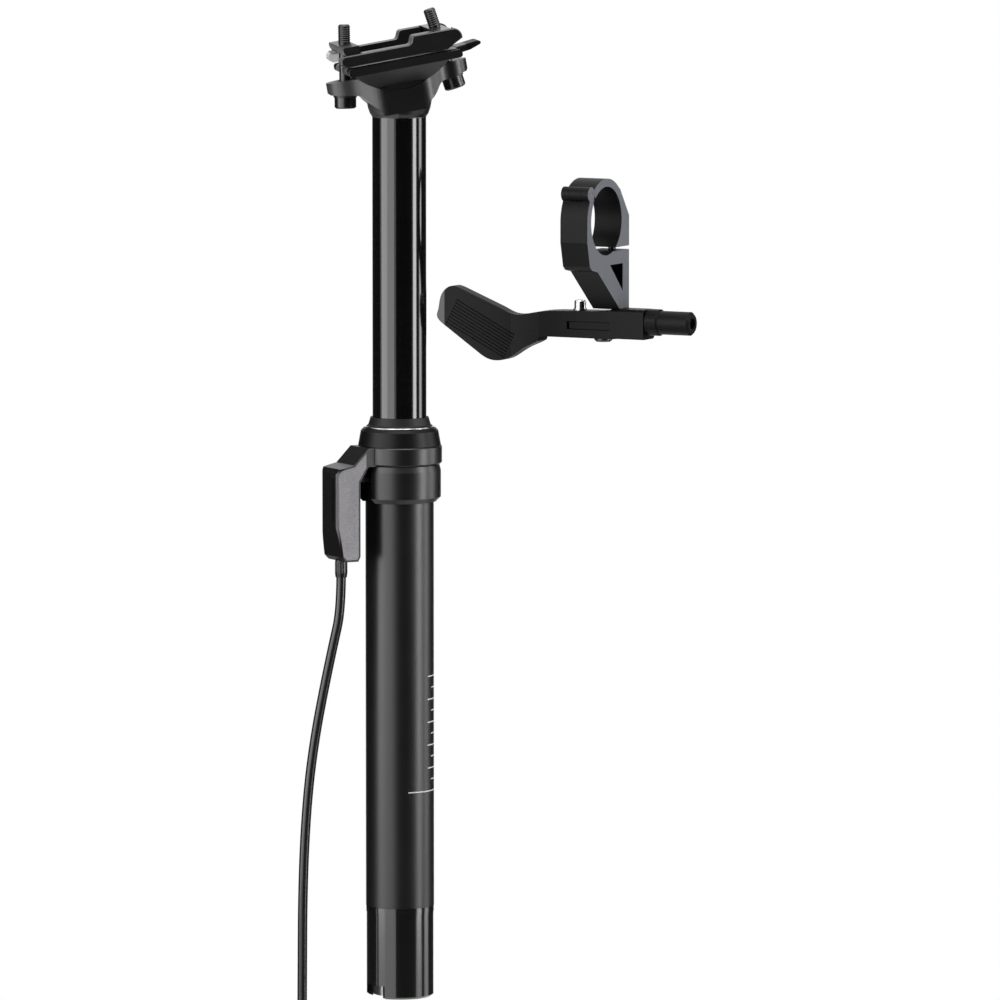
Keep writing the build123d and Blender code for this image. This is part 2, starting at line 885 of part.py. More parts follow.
def corner_radii(points):
    """The radius of each arc: a share of its shorter run, over the tangent of half the turn."""
    radii = []
    for a, b, c in zip(points, points[1:], points[2:]):
        before, after = Vector(*b) - Vector(*a), Vector(*c) - Vector(*b)
        turn = radians(before.get_angle(after))
        radii.append(arc_run_share * min(before.length, after.length) / tan(turn / 2))
    return radii


def tube_along(path, radius):
    """A round tube swept along a path, checked against its section times its length."""
    start = Plane(path.position_at(0), z_dir=path.tangent_at(0))
    body = sweep(start * Circle(radius), path=path)
    share = body.volume / (pi * radius**2 * path.length)
    print("length", round(path.length, 1), "volume share", round(share, 4))
    return body


def casing_cord():
    radii = corner_radii(casing_route)
    print("radii", [round(r) for r in radii])
    return tube_along(FilletPolyline(*casing_route, radius=radii), casing_radius)


def coil_point(turns):
    """Centre line of the coil after a number of turns."""
    inwards = min(turns, coil_turns - turns)
    radius = coil_radius - coil_pitch * inwards
    climb = min(max((turns - coil_turns / 2 + 1 / 4) / (1 / 2), 0), 1)
    angle = pi + 2 * pi * turns
    return Vector(
        casing_route[-1][0] - coil_climb * climb,
        casing_route[-1][1] + coil_radius + radius * cos(angle),
        coil_height + radius * sin(angle),
    )


def coil_way(turns):
    """Direction of the coil's centre line, square to its radius."""
    angle = pi + 2 * pi * turns
    return Vector(0, -sin(angle), cos(angle))


def biarc(start, start_way, end, end_way):
    """Two arcs that leave one point and reach another in the directions given."""
    gap, both = end - start, start_way + end_way
    spread = 2 * (1 - start_way.dot(end_way))
    along = gap.dot(both)
    reach = (-along + sqrt(along**2 + spread * gap.dot(gap))) / spread
    middle = (start + end + (start_way - end_way) * reach) / 2
    first = TangentArc(start, middle, tangent=start_way)
    return [first, TangentArc(middle, end, tangent=first.tangent_at(1))]


def coil_path():
    straight = 2 * casing_radius
    steps = [0] + [(k + 1 / 2) / 2 for k in range(2 * coil_turns)] + [coil_turns]
    first, last = coil_point(0), coil_point(coil_turns)
    edges = [Line(first - coil_way(0) * straight, first)]
    for a, b in zip(steps, steps[1:]):
        edges += biarc(coil_point(a), coil_way(a), coil_point(b), coil_way(b))
    edges.append(Line(last, last + coil_way(coil_turns) * straight))
    return Wire(edges)


def least_self_gap(path, radius):
    """The least clear distance between two turns, measured on points of the centre line."""
    count = gap_points_per_turn * coil_turns
    points = [path.position_at(k / count) for k in range(count + 1)]
    apart = int(near_radii * radius / (path.length / count)) + 1
    pairs = [(a, b) for a in range(count) for b in range(a + apart, count + 1)]
    return min((points[a] - points[b]).length for a, b in pairs) - 2 * radius


def casing_coil():
    path = coil_path()
    print("coil gap", round(least_self_gap(path, casing_radius), 2))
    return tube_along(path, casing_radius)


def coil_tie():
    """A flat strap round the bundle, at the top of the coil."""
    inner = coil_radius - coil_pitch * (coil_turns / 2 - 1 / 4) - casing_radius - tie_gap
    outer = coil_radius - coil_pitch / 4 + casing_radius + tie_gap
    x, y, z = casing_route[-1][0], casing_route[-1][1] + coil_radius, coil_height
    low_x, high_x = x - coil_climb - casing_radius - tie_gap, x + casing_radius + tie_gap
    hole = block((low_x, y - tie_width, z + inner), (high_x, y + tie_width, z + outer))
    band = block(
        (low_x - tie_wall, y - tie_width / 2, z + inner - tie_wall),
        (high_x + tie_wall, y + tie_width / 2, z + outer + tie_wall),
    )
    band = fillet(band.edges().filter_by(Axis.Y), 2 * tie_wall)
    return band - hole


def casing_ferrule():
    end = coil_point(coil_turns) + coil_way(coil_turns) * 2 * casing_radius
    body = rod(ferrule_radius, -ferrule_length, 0)
    body = chamfer(body.edges().group_by(Axis.Z)[0], ferrule_wall)
    return Pos(end.X, end.Y, end.Z) * body


# Head and saddle clamp


def bolt_axis(side):
    """Frame of a bolt: the origin under the ear, z up along the bolt towards its nut."""
    drop = nut_rise - head_top + ear_thickness
    out = bolt_half_gap + drop * tan(radians(bolt_lean))
    return Pos(trough_x + side * out, 0, head_top - ear_thickness) * Rot(0, -side * bolt_lean, 0)


def nut_height():
    """Height of a nut's centre above the ear's underside, along the bolt."""
    return (nut_rise - head_top + ear_thickness) / cos(radians(bolt_lean))


def trough(radius):
    return cross_rod(radius, trough_x, trough_z, -cradle_half_width, cradle_half_width)


def head_side():
    """Side outline of the head: two ears, and a web that curves down from each to the block."""
    low = head_top - ear_thickness
    inner = low - (head_reach - web_start) / 2 * tan(radians(bolt_lean))
    outer = inner + (head_reach - web_start) * tan(radians(bolt_lean))
    foot = web_points[-1][1]
    edges = []
    for side in (-1, 1):
        web = [(side * web_start, 0, inner)] + [(-side * x, 0, z) for x, z in web_points]
        along = Vector(-side * cos(radians(bolt_lean)), 0, -sin(radians(bolt_lean)))
        edges.append(Spline(*web, tangents=[along, Vector(0, 0, -1)]))
        corner = [(side * web_start, 0, inner), (side * (head_reach - head_corner), 0, outer)]
        tip = [(side * head_reach, 0, outer + head_corner), (side * head_reach, 0, head_top)]
        edges.append(Polyline(*corner, *tip))
    edges.append(Line((web_points[-1][0], 0, foot), (-web_points[-1][0], 0, foot)))
    edges.append(Line((-head_reach, 0, head_top), (head_reach, 0, head_top)))
    return thick(make_face(Wire.combine(edges)[0]), -head_half_width, head_half_width)


def head_plan():
    """Outline of the head from above: wide at the trough, drawn in to a round ear at each end."""
    middle = bolt_half_gap + (nut_rise - head_top + ear_thickness / 2) * tan(radians(bolt_lean))
    edges = []
    for side in (-1, 1):
        for across in (-1, 1):
            start = (side * head_flank, across * head_half_width)
            end = (side * middle, across * ear_half)
            edges.append(Spline(start, end, tangents=[(side, 0), (side, 0)]))
        tip = (side * (middle + ear_half), 0)
        edges.append(ThreePointArc((side * middle, -ear_half), tip, (side * middle, ear_half)))
        across = side * head_half_width
        edges.append(Line((-head_flank, across), (head_flank, across)))
    outline = make_face(Wire.combine(edges)[0])
    return Pos(0, 0, -2 * head_reach) * extrude(outline, amount=2 * head_reach, dir=(0, 0, 1))


def seat_head():
    """The forged head: a flared neck, a block with a round trough for the cradle, and two ears."""
    foot = stanchion_top + bond_gap
    neck = turned(
        [
            (0, stanchion_top - spigot_length),
            (stanchion_bore - bond_gap, stanchion_top - spigot_length),
            (stanchion_bore - bond_gap, foot),
            (stanchion_radius, foot),
            *neck_rise(),
            (0, neck_rise()[-1][1]),
        ]
    )
    body = neck + at_clamp * Pos(trough_x, 0, 0) * (head_side() & head_plan())
    body -= at_clamp * trough(trough_radius)
    for side in (-1, 1):
        frame = at_clamp * bolt_axis(side)
        body -= frame * rod(bolt_radius + bolt_hole_gap, -ear_thickness, nut_height())
        body -= frame * rod(bolt_head_radius + ear_rim, -2 * ear_thickness, 0)
    return body


def neck_rise():
    """The flare of the neck, as radius and height pairs above the stanchion."""
    return [(stanchion_radius + out, stanchion_top + up) for out, up in neck_flare]


def clamp_bolt(side):
    seat = -washer_thickness - seat_gap
    shank = rod(bolt_radius, seat - bolt_head_height / 2, bolt_length)
    shank = chamfer(shank.edges().group_by(Axis.Z)[-1], bolt_end_chamfer)
    head = rod(bolt_head_radius, seat - bolt_head_height, seat)
    head = chamfer(head.edges().group_by(Axis.Z)[0], bolt_head_chamfer)
    bottom = seat - bolt_head_height
    socket = hexagon(bolt_head_radius * socket_share, bottom - overrun, bottom + socket_depth)
    return at_clamp * bolt_axis(side) * (shank + head - socket)


def bolt_washer(side):
    body = ring(bolt_head_radius + bolt_hole_gap, bolt_radius + bond_gap, -washer_thickness, 0)
    return at_clamp * bolt_axis(side) * Pos(0, 0, -seat_gap / 2) * body


def nut_end():
    """Half the length of a barrel nut: it ends inside the two plates' pockets."""
    return rail_gap_half + plate_half_width - plate_wall - seat_gap


def barrel_nut(side):
    body = cross_rod(nut_barrel_radius, 0, 0, -nut_end(), nut_end())
    reach = 2 * nut_barrel_radius
    body -= block((-reach, -rail_gap_half - reach, nut_flat), (reach, rail_gap_half + reach, reach))
    body = Pos(trough_x + side * bolt_half_gap, 0, nut_rise) * body
    hole = bolt_axis(side) * rod(bolt_radius + running_gap, 0, bolt_length + overrun)
    return at_clamp * (body - hole)


def rail_groove(side):
    reach = plate_front + plate_rear
    return Pos(0, side * rail_gap_half, -rail_drop) * Rot(0, 90, 0) * Cylinder(rail_radius, 2 * reach)


def plate_outline():
    """Side outline of an upper plate, from its nose back to the boss round the rear nut."""
    step = plate_step + plate_step_run
    middle = (plate_step + plate_step_run / 2, 0, (plate_top + plate_boss_top) / 2)
    heel_top = plate_bottom + plate_heel_rise
    crown = plate_boss_top - plate_boss_round
    round_middle = plate_boss_round * (1 - cos(pi / 4))
    edges = [
        Polyline(
            (plate_step, 0, plate_top), (plate_nose - plate_front, 0, plate_top),
            (-plate_front, 0, plate_top - plate_nose), (-plate_front, 0, plate_bottom + plate_nose),
            (plate_nose - plate_front, 0, plate_bottom), (plate_heel, 0, plate_bottom),
            (plate_rear, 0, heel_top), (plate_rear, 0, crown),
        ),
        Spline(
            (plate_step, 0, plate_top), middle, (step, 0, plate_boss_top), tangents=[(1, 0, 0), (1, 0, 0)]
        ),
        Line((step, 0, plate_boss_top), (plate_rear - plate_boss_round, 0, plate_boss_top)),
        ThreePointArc(
            (plate_rear - plate_boss_round, 0, plate_boss_top),
            (plate_rear - round_middle, 0, plate_boss_top - round_middle),
            (plate_rear, 0, crown),
        ),
    ]
    return make_face(Wire.combine(edges)[0])


def upper_clamp(side):
    """One of the two plates that hold the rails down; the nuts lie across both, in pockets closed outside."""
    body = thick(plate_outline(), -plate_half_width, plate_half_width)
    body = chamfer(body.faces().sort_by(Axis.Y)[0 if side < 0 else -1].edges(), plate_edge)
    seat = nut_rise - nut_barrel_radius - seat_gap
    half = nut_barrel_radius + nut_seat_slack
    inner, outer = sorted((-side * rail_gap_half, side * (plate_half_width - plate_wall)))
    for end in (-1, 1):
        middle = trough_x + end * bolt_half_gap
        body -= block((middle - half, inner, seat), (middle + half, outer, plate_boss_top + overrun))
    body = Pos(0, side * rail_gap_half, 0) * body
    return at_clamp * (body - rail_groove(side))


def lower_cradle():
    """A plate with two rail grooves, carried on a round keel that tilts in the head's trough."""
    corner = (cradle_half, cradle_half_width, cradle_top)
    plate = block((-cradle_half, -cradle_half_width, cradle_bottom), corner)
    plate = chamfer(plate.edges().filter_by(Axis.Y), cradle_edge)
    keel = trough(trough_radius - running_gap)
    corner = (trough_radius, cradle_waist, cradle_bottom + overrun)
    keel &= block((-trough_radius, -cradle_waist, -2 * trough_radius), corner)
    body = plate + keel
    half = bolt_radius + bolt_hole_gap
    for end in (-1, 1):
        body -= rail_groove(end)
        near, far = sorted((trough_x + end * cradle_slot_start, end * (cradle_half + overrun)))
        body -= block((near, -half, -trough_radius), (far, half, cradle_top + overrun))
    return at_clamp * body


# Bar lever


def bar_slab(face, half=jaw_width / 2):
    """A face drawn across the bar, as y and z, given a width along it."""
    return extrude(Plane.YZ * face, amount=half, dir=(1, 0, 0), both=True)


def knuckle_centre():
    reach = bar_radius + jaw_wall + knuckle_out
    return (reach * cos(radians(knuckle_turn)), reach * sin(radians(knuckle_turn)))


def knuckle(radius, half, middle=0):
    """A round bar on the hinge's axis, along the handlebar."""
    y, z = knuckle_centre()
    return Pos(middle, y, z) * Rot(0, 90, 0) * Cylinder(radius, 2 * half)


def knuckle_sides(radius, slack):
    """The two outer knuckles, which belong to the fixed half."""
    inner = jaw_width * knuckle_share / 2 + seat_gap - slack
    half = (jaw_width / 2 + slack - inner) / 2
    return [knuckle(radius, half, side * (inner + half)) for side in (-1, 1)]


def jaw_side(drop, turn, up):
    """The region above the split (up = 1) or below it (up = -1), met by a line through the hinge."""
    far = 4 * bar_radius
    edge = (far * cos(radians(turn)), far * sin(radians(turn)))
    corner = (-far, far * up)
    return Polygon((0, 0), edge, corner, (far, far * up), (far, -drop), (0, -drop), align=None)


def clamp_jaw():
    """The hinged half of the bar clamp."""
    outer = bar_radius + jaw_wall
    drop = split_drop - split_gap / 2
    brow_points = Polygon(
        (0, outer), (outer * jaw_brow_share, outer * jaw_brow_share),
        (jaw_flat, jaw_shoulder), (jaw_flat, -drop), (0, -drop),
        align=None,
    )
    face = (Circle(outer) + brow_points) & jaw_side(drop, knuckle_turn - jaw_end_turn, 1)
    body = bar_slab(face - Circle(bar_radius))
    for cut in knuckle_sides(knuckle_radius + running_gap + seat_gap, seat_gap):
        body -= cut
    middle = jaw_width * knuckle_share / 2
    root = bar_slab(knuckle_root(knuckle_turn - jaw_end_turn - knuckle_share * jaw_end_turn), middle)
    body += knuckle(knuckle_radius, middle) + root
    body -= bar_slab(Circle(bar_radius), jaw_width)
    body -= knuckle(knuckle_pin_radius + running_gap, jaw_width)
    seat = -jaw_bolt_sink
    body -= Pos(0, jaw_bolt_place, 0) * rod(jaw_bolt_radius + jaw_bolt_slack, -2 * bar_radius, seat + overrun)
    body -= Pos(0, jaw_bolt_place, 0) * rod(jaw_bolt_head + jaw_head_slack, seat, 2 * bar_radius)
    return at_remote * body


def knuckle_root(turn):
    """Joins a knuckle to its half of the ring: a four-sided patch from the hinge to the ring."""
    y, z = knuckle_centre()
    middle = bar_radius + jaw_wall / 2
    foot = (middle * cos(radians(turn)), middle * sin(radians(turn)))
    along = Vector(foot[0] - y, foot[1] - z).normalized()
    side = Vector(-along.Y, along.X) * knuckle_radius * knuckle_root_share
    return Polygon(
        (y + side.X, z + side.Y), (foot[0] + side.X, foot[1] + side.Y),
        (foot[0] - side.X, foot[1] - side.Y), (y - side.X, z - side.Y),
        align=None,
    )


def body_outline():
    """Outline of the fixed half, from the hinge round the far side and down to the stem's foot."""
    outer = bar_radius + jaw_wall
    drop = split_drop + split_gap / 2
    back = [(outer * across, outer * up) for across, up in back_shares]
    side = Polygon(
        (0, 0), *back, (stem_foot, stem_bottom), (jaw_flat, stem_bottom), (jaw_flat, -drop), align=None
    )
    face = (Circle(outer) + side) & jaw_side(drop, knuckle_turn + jaw_end_turn, -1)
    window = Polygon(*stem_window, align=None)
    return face - Circle(bar_radius) - window


def carrier_block():
    """The block under the stem, hollowed round the lever's end, with the tongue the lever turns on."""
    low, high = stem_bottom - block_height, stem_bottom
    half = block_width / 2
    body = block((pivot_place, lever_across - half, low), (block_end, lever_across + half, high))
    body = chamfer(body.edges().filter_by(Axis.X), lever_edge)
    hollow = Pos(pivot_place, lever_across, 0) * rod(
        root_radius + ring_clearance, low - overrun, stem_bottom - seat_gap
    )
    body -= hollow
    body -= block(
        (pivot_place - overrun, lever_across - block_width, low - overrun),
        (pivot_place + root_radius / 2, lever_across + block_width, stem_bottom - seat_gap),
    )
    foot = block(
        (-jaw_width / 2, stem_foot, stem_bottom - seat_gap),
        (block_end - overrun, jaw_flat, stem_bottom + seat_gap),
    )
    tongue = block(
        (pivot_place - tongue_reach, lever_across - tongue_half, tongue_middle - tongue_height / 2),
        (block_end - block_height / 2, lever_across + tongue_half, tongue_middle + tongue_height / 2),
    )
    body += foot + tongue
    pin = rod(pivot_radius + bond_gap, low - overrun, stem_bottom - overrun)
    body -= Pos(pivot_place, lever_across, 0) * pin
    return body


def remote_body():
    """The fixed half of the bar clamp, its stem, and the block that carries the lever."""
    body = bar_slab(body_outline())
    body -= knuckle(knuckle_radius + running_gap + seat_gap, jaw_width * knuckle_share / 2 + seat_gap)
    for side in knuckle_sides(knuckle_radius, 0):
        body += side
    inner = jaw_width * knuckle_share / 2 + seat_gap
    root = bar_slab(knuckle_root(knuckle_turn + jaw_end_turn + knuckle_share * jaw_end_turn))
    body += root - bar_slab(Circle(2 * bar_radius), inner)
    body -= bar_slab(Circle(bar_radius), jaw_width)
    body -= knuckle(knuckle_pin_radius + bond_gap, jaw_width)
    thread = rod(jaw_bolt_radius + bond_gap, -split_drop - jaw_bolt_depth - overrun, 0)
    body -= Pos(0, jaw_bolt_place, 0) * thread
    body += carrier_block()
    seat = Pos(0, lever_across, barrel_middle) * Rot(0, 90, 0)
    body -= seat * rod(barrel_neck + bond_gap, block_end - barrel_depth, block_end + overrun)
    body -= seat * rod(wire_radius + nipple_gap, pivot_place + root_radius, block_end)
    return at_remote * body


def knuckle_pin():
    return at_remote * knuckle(knuckle_pin_radius, jaw_width / 2 - seat_gap)


def jaw_bolt():
    """The screw that closes the bar clamp, entered from above."""
    seat = -jaw_bolt_sink + seat_gap / 2
    body = rod(jaw_bolt_radius, -split_drop - jaw_bolt_depth, seat + overrun)
    head = rod(jaw_bolt_head, seat, seat + jaw_head_height)
    top = seat + jaw_head_height
    head -= hexagon(jaw_bolt_head * socket_share, top - jaw_head_height / 2, top + overrun)
    return at_remote * Pos(0, jaw_bolt_place, 0) * (body + head)


def lever_pivot():
    """The pin on which the lever turns, with its head below."""
    low, high = lever_heights()
    body = rod(pivot_radius, low - overrun, high - seat_gap)
    head = rod(pivot_head, low - pivot_head_height, low - seat_gap)
    head = chamfer(head.edges().group_by(Axis.Z)[0], pivot_head_height / 2)
    return at_remote * Pos(pivot_place, lever_across, 0) * (body + head)


def remote_barrel():
    """The barrel adjuster of the bar lever."""
    base = rod(barrel_base_radius, block_end + seat_gap, block_end + barrel_base_length)
    base = chamfer(base.edges().filter_by(GeomType.CIRCLE), lever_edge / 2)
    top = block_end + barrel_base_length + barrel_length
    barrel = rod(barrel_radius, block_end + barrel_base_length - overrun, top)
    barrel = chamfer(barrel.edges().group_by(Axis.Z)[-1], lever_edge)
    body = base + barrel + rod(barrel_neck, block_end - barrel_depth + seat_gap, block_end + overrun)
    body -= rod(barrel_bore, top - barrel_counterbore, top + overrun)
    body -= rod(wire_radius + nipple_gap, block_end - barrel_depth - overrun, top)
    groove = Pos(barrel_base_radius + knurl_radius / 2, 0, 0) * rod(
        knurl_radius, block_end, block_end + barrel_base_length + overrun
    )
    for cut in round_about(groove, barrel_knurl_count):
        body -= cut
    return at_remote * Pos(0, lever_across, barrel_middle) * Rot(0, 90, 0) * body


def lever_heights():
    """Bottom and top of the lever at its pivot."""
    low, high = arm_bottom_shares[-1][1], arm_top_shares[0][1]
    return (lever_drop + lever_rise * low, lever_drop + lever_rise * high)


def lever_top(place):
    """Height of the arm's upper edge at a place along the handlebar."""
    (near, near_up), (far, far_up) = arm_top_shares
    along = (pivot_place + root_radius - place) / lever_length
    return lever_drop + lever_rise * (near_up + (far_up - near_up) * (along - near) / (far - near))


def lever_points(shares):
    start = pivot_place + root_radius
    return [(start - along * lever_length, 0, lever_drop + up * lever_rise) for along, up in shares]


def lever_outline():
    """Side outline of the lever: straight runs, and curves that leave them without a corner."""
    runs = [lever_points(one) for one in (arm_top_shares, pad_top_shares, pad_side_shares, arm_bottom_shares)]
    bends = [lever_points(one) for one in (crook_shares, pad_tip_shares, pad_heel_shares)]
    ways = [Vector(*run[1]) - Vector(*run[0]) for run in runs]
    edges = [Line(*run) for run in runs]
    for bend, before, after in zip(bends, ways, ways[1:]):
        edges.append(Spline(*bend, tangents=[before.normalized(), after.normalized()]))
    edges.append(Line(runs[-1][1], runs[0][0]))
    return make_face(Wire(edges))


def lever_plan():
    """Outline of the lever from above: a round end about the pivot, then a taper to the pad."""
    start = pivot_place
    tip = pivot_place + root_radius - lever_length - overrun
    root, pad = lever_thick_root / 2, lever_thick_tip / 2
    waist = start - lever_length / 3
    knee = start - lever_length / 2
    flank = Polygon(
        (start + root_radius, -root),
        (waist, -root),
        (knee, -pad),
        (tip, -pad),
        (tip, pad),
        (knee, pad),
        (waist, root),
        (start + root_radius, root),
        align=None,
    )
    reach = Pos(start, 0) * Circle(root_radius)
    front = Pos(start - lever_length, 0) * Rectangle(2 * lever_length, lever_length)
    return flank & (reach + front)


def pad_grooves():
    """Slanted grooves in the pad's near face."""
    x, z = lever_points([pad_middle_share])[0][::2]
    near = -lever_thick_tip / 2
    cuts = []
    for k in range(rib_count):
        across = (k - (rib_count - 1) / 2) * rib_pitch
        bar = block(
            (-rib_length / 2, near - overrun, across - rib_width / 2),
            (rib_length / 2, near + rib_depth, across + rib_width / 2),
        )
        cuts.append(Pos(x, 0, z) * Rot(0, rib_slope, 0) * bar)
    return cuts


def remote_lever():
    """The thumb lever: a forked root round the tongue, an arm, and a ribbed pad."""
    low, high = lever_heights()
    body = thick(lever_outline(), -lever_thick_root / 2, lever_thick_root / 2)
    body &= Pos(0, 0, lever_drop - overrun) * extrude(
        lever_plan(), amount=lever_rise + 2 * overrun, dir=(0, 0, 1)
    )
    slot = tongue_height / 2 + tine_gap
    body -= block(
        (pivot_place - lever_slot_length / 2, -lever_thick_root, tongue_middle - slot),
        (pivot_place + 2 * root_radius, lever_thick_root, tongue_middle + slot),
    )
    body -= Pos(pivot_place, 0, 0) * rod(pivot_radius + running_gap, low - overrun, high + overrun)
    body -= Pos(pinch_place, 0, 0) * rod(pinch_stem_radius + bond_gap, tongue_middle, high + overrun)
    for cut in pad_grooves():
        body -= cut
    return at_remote * Pos(0, lever_across, 0) * body


def pinch_screw():
    """The screw and washer that grip the inner wire at the lever."""
    high = lever_top(pinch_place)
    washer = rod(pinch_radius, high + 2 * seat_gap, high + seat_gap + pinch_height / 3)
    head = rod(pinch_radius * pinch_head_share, high + pinch_height / 3, high + 2 * pinch_height)
    head = chamfer(head.edges().group_by(Axis.Z)[-1], pinch_chamfer)
    socket = pinch_radius * pinch_head_share * socket_share
    head -= hexagon(socket, high + pinch_height, high + 2 * pinch_height + overrun)
    stem = rod(pinch_stem_radius, tongue_middle + tongue_height, high + pinch_height / 2)
    return at_remote * Pos(pinch_place, lever_across, 0) * (washer + head + stem)


def main():
    pieces = {
        "outer_tube": outer_tube(),
        "tube_collar": tube_collar(),
        "top_nut": top_nut(),
        "wiper_seal": wiper_seal(),
        "scraper_ring": scraper_ring(),
        "upper_bushing": upper_bushing(),
        "stanchion_tube": stanchion_tube(),
        "lower_bushing": lower_bushing(),
        "guide_keys": guide_keys(),
        "stanchion_foot": stanchion_foot(),
        "cartridge_tube": cartridge_tube(),
        "cartridge_gland": cartridge_gland(),
        "cartridge_plug": cartridge_plug(),
        "cartridge_carrier": cartridge_carrier(),
        "piston_rod": piston_rod(),
        "rod_piston": rod_piston(),
        "rod_nut": rod_nut(),
        "end_cap": end_cap(),
        "base_plug": base_plug(),
        "base_pin": base_pin(),
        "base_rocker": base_rocker(),
        "valve_pin": valve_pin(),
        "pull_rod": pull_rod(),
        "actuator_housing": actuator_housing(),
        "actuator_cover": actuator_cover(),
        "actuator_insert": actuator_insert(),
        "actuator_rocker": actuator_rocker(),
        "rocker_pin": rocker_pin(),
        "inner_cable": inner_cable(),
        "barrel_adjuster": barrel_adjuster(),
        "casing_cord": casing_cord(),
        "casing_coil": casing_coil(),
        "coil_tie": coil_tie(),
        "casing_ferrule": casing_ferrule(),
        "seat_head": seat_head(),
        "front_bolt": clamp_bolt(-1),
        "rear_bolt": clamp_bolt(1),
        "front_washer": bolt_washer(-1),
        "rear_washer": bolt_washer(1),
        "front_barrel_nut": barrel_nut(-1),
        "rear_barrel_nut": barrel_nut(1),
        "left_upper_clamp": upper_clamp(-1),
        "right_upper_clamp": upper_clamp(1),
        "lower_cradle": lower_cradle(),
        "remote_body": remote_body(),
        "clamp_jaw": clamp_jaw(),
        "knuckle_pin": knuckle_pin(),
        "jaw_bolt": jaw_bolt(),
        "lever_pivot": lever_pivot(),
        "remote_barrel": remote_barrel(),
        "remote_lever": remote_lever(),
        "pinch_screw": pinch_screw(),
    }
    for name, shape in pieces.items():
        save(name, shape)


main()
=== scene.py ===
import json

import bmesh
import bpy
from math import cos, pi, radians, sin
from mathutils import Matrix, Vector


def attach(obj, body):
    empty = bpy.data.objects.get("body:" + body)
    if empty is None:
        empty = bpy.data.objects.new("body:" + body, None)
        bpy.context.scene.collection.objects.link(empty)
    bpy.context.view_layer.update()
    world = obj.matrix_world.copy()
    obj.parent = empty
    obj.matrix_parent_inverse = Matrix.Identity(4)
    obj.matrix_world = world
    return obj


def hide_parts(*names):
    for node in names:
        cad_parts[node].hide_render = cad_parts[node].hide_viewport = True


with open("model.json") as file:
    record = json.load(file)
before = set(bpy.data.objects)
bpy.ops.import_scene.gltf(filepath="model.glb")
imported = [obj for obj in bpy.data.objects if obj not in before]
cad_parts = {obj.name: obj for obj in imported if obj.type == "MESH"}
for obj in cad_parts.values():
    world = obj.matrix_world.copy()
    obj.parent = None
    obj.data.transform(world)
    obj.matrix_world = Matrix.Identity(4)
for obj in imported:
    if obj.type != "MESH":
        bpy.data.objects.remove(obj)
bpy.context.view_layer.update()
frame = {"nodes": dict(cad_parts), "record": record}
bpy.context.scene.view_settings.view_transform = "Standard"
nodes = frame["nodes"]
print("frame loaded:", len(nodes), "nodes")

photoPixels = 1000  # width and height of the photograph

# the camera, as far away as the photograph's long lens
cameraSettings = {
    "metresPerPixel": 0.0004613,  # at the post's axis
    "axisColumn": 399.6,
    "originRow": 793,
    "riseScale": 0.9945,  # an upright length is drawn this much shorter
    "toCamera": (-0.1495, -0.9888),
    "distance": 4.2,
    "height": 0.442,  # above the point in the middle of the picture
    "sensor": 36,  # mm
    "clipEnd": 100,
}


def placeCamera(s):
    toCamera = Vector((*s["toCamera"], 0)).normalized()
    toRight = Vector((-toCamera.y, toCamera.x, 0))
    aside = (photoPixels / 2 - s["axisColumn"]) * s["metresPerPixel"]
    rise = (s["originRow"] - photoPixels / 2) * s["metresPerPixel"] / s["riseScale"]
    aim = toRight * aside + Vector((0, 0, rise))
    place = aim + toCamera * s["distance"] + Vector((0, 0, s["height"]))
    data = bpy.data.cameras.new("photoCamera")
    camera = bpy.data.objects.new("photoCamera", data)
    bpy.context.scene.collection.objects.link(camera)
    camera.location = place
    camera.rotation_euler = (aim - place).to_track_quat("-Z", "Y").to_euler()
    data.sensor_width = s["sensor"]
    data.lens = s["sensor"] * (aim - place).length / (photoPixels * s["metresPerPixel"])
    data.clip_end = s["clipEnd"]
    bpy.context.scene.camera = camera


placeCamera(cameraSettings)
print("camera placed")


# the casing: one open curve, from the barrel adjuster down to a small coil below the picture
casingSettings = {
    "radius": 0.00225,
    "exit": (-0.02858, -0.01007, 0.1017),
    "route": [
        (-0.02858, -0.010064, 0.1057),
        (-0.02858, -0.010064, 0.086963),
        (-0.0324, -0.0098, 0.069999),
        (-0.0366, -0.0096, 0.049996),
        (-0.0406, -0.0095, 0.02898),
        (-0.0438, -0.0097, 0.005939),
        (-0.0458, -0.01, -0.019887),
        (-0.0468, -0.0102, -0.047992),
        (-0.047, -0.01, -0.077997),
        (-0.0472, -0.0101, -0.105975),
        (-0.0472, -0.0101, -0.1475),
    ],
    "coilRadius": 0.0345,
    "coilPitch": 0.0056,
    "coilTurns": 6,
    "coilClimb": 0.0074,
    "coilHeight": -0.152,
    "coilReversal": 0.0199,  # radius of the half turn where the spiral reverses
    "pointsPerTurn": 16,
    "roundness": 6,  # of the cord's section
    "stepsPerPoint": 8,
    "length": 1.25,
}


def coilPoints(s):
    # spirals in and out again, and climbs one layer in the half turn where it reverses
    endX, endY = s["route"][-1][:2]
    swell = 1 / cos(pi / s["pointsPerTurn"])
    points = []
    for k in range(s["pointsPerTurn"] * s["coilTurns"] + 1):
        turns = k / s["pointsPerTurn"]
        inwards = min(turns, s["coilTurns"] - turns)
        radius = max(s["coilRadius"] - s["coilPitch"] * inwards, s["coilReversal"]) * swell
        climb = min(max((turns - s["coilTurns"] / 2 + 1 / 4) * 2, 0), 1)
        angle = pi + 2 * pi * turns
        points.append(
            (
                endX - s["coilClimb"] * climb,
                endY + s["coilRadius"] + radius * cos(angle),
                s["coilHeight"] + radius * sin(angle),
            )
        )
    x, y, z = points[-1]
    points.append((x, y, z - 2 * s["radius"]))
    return points


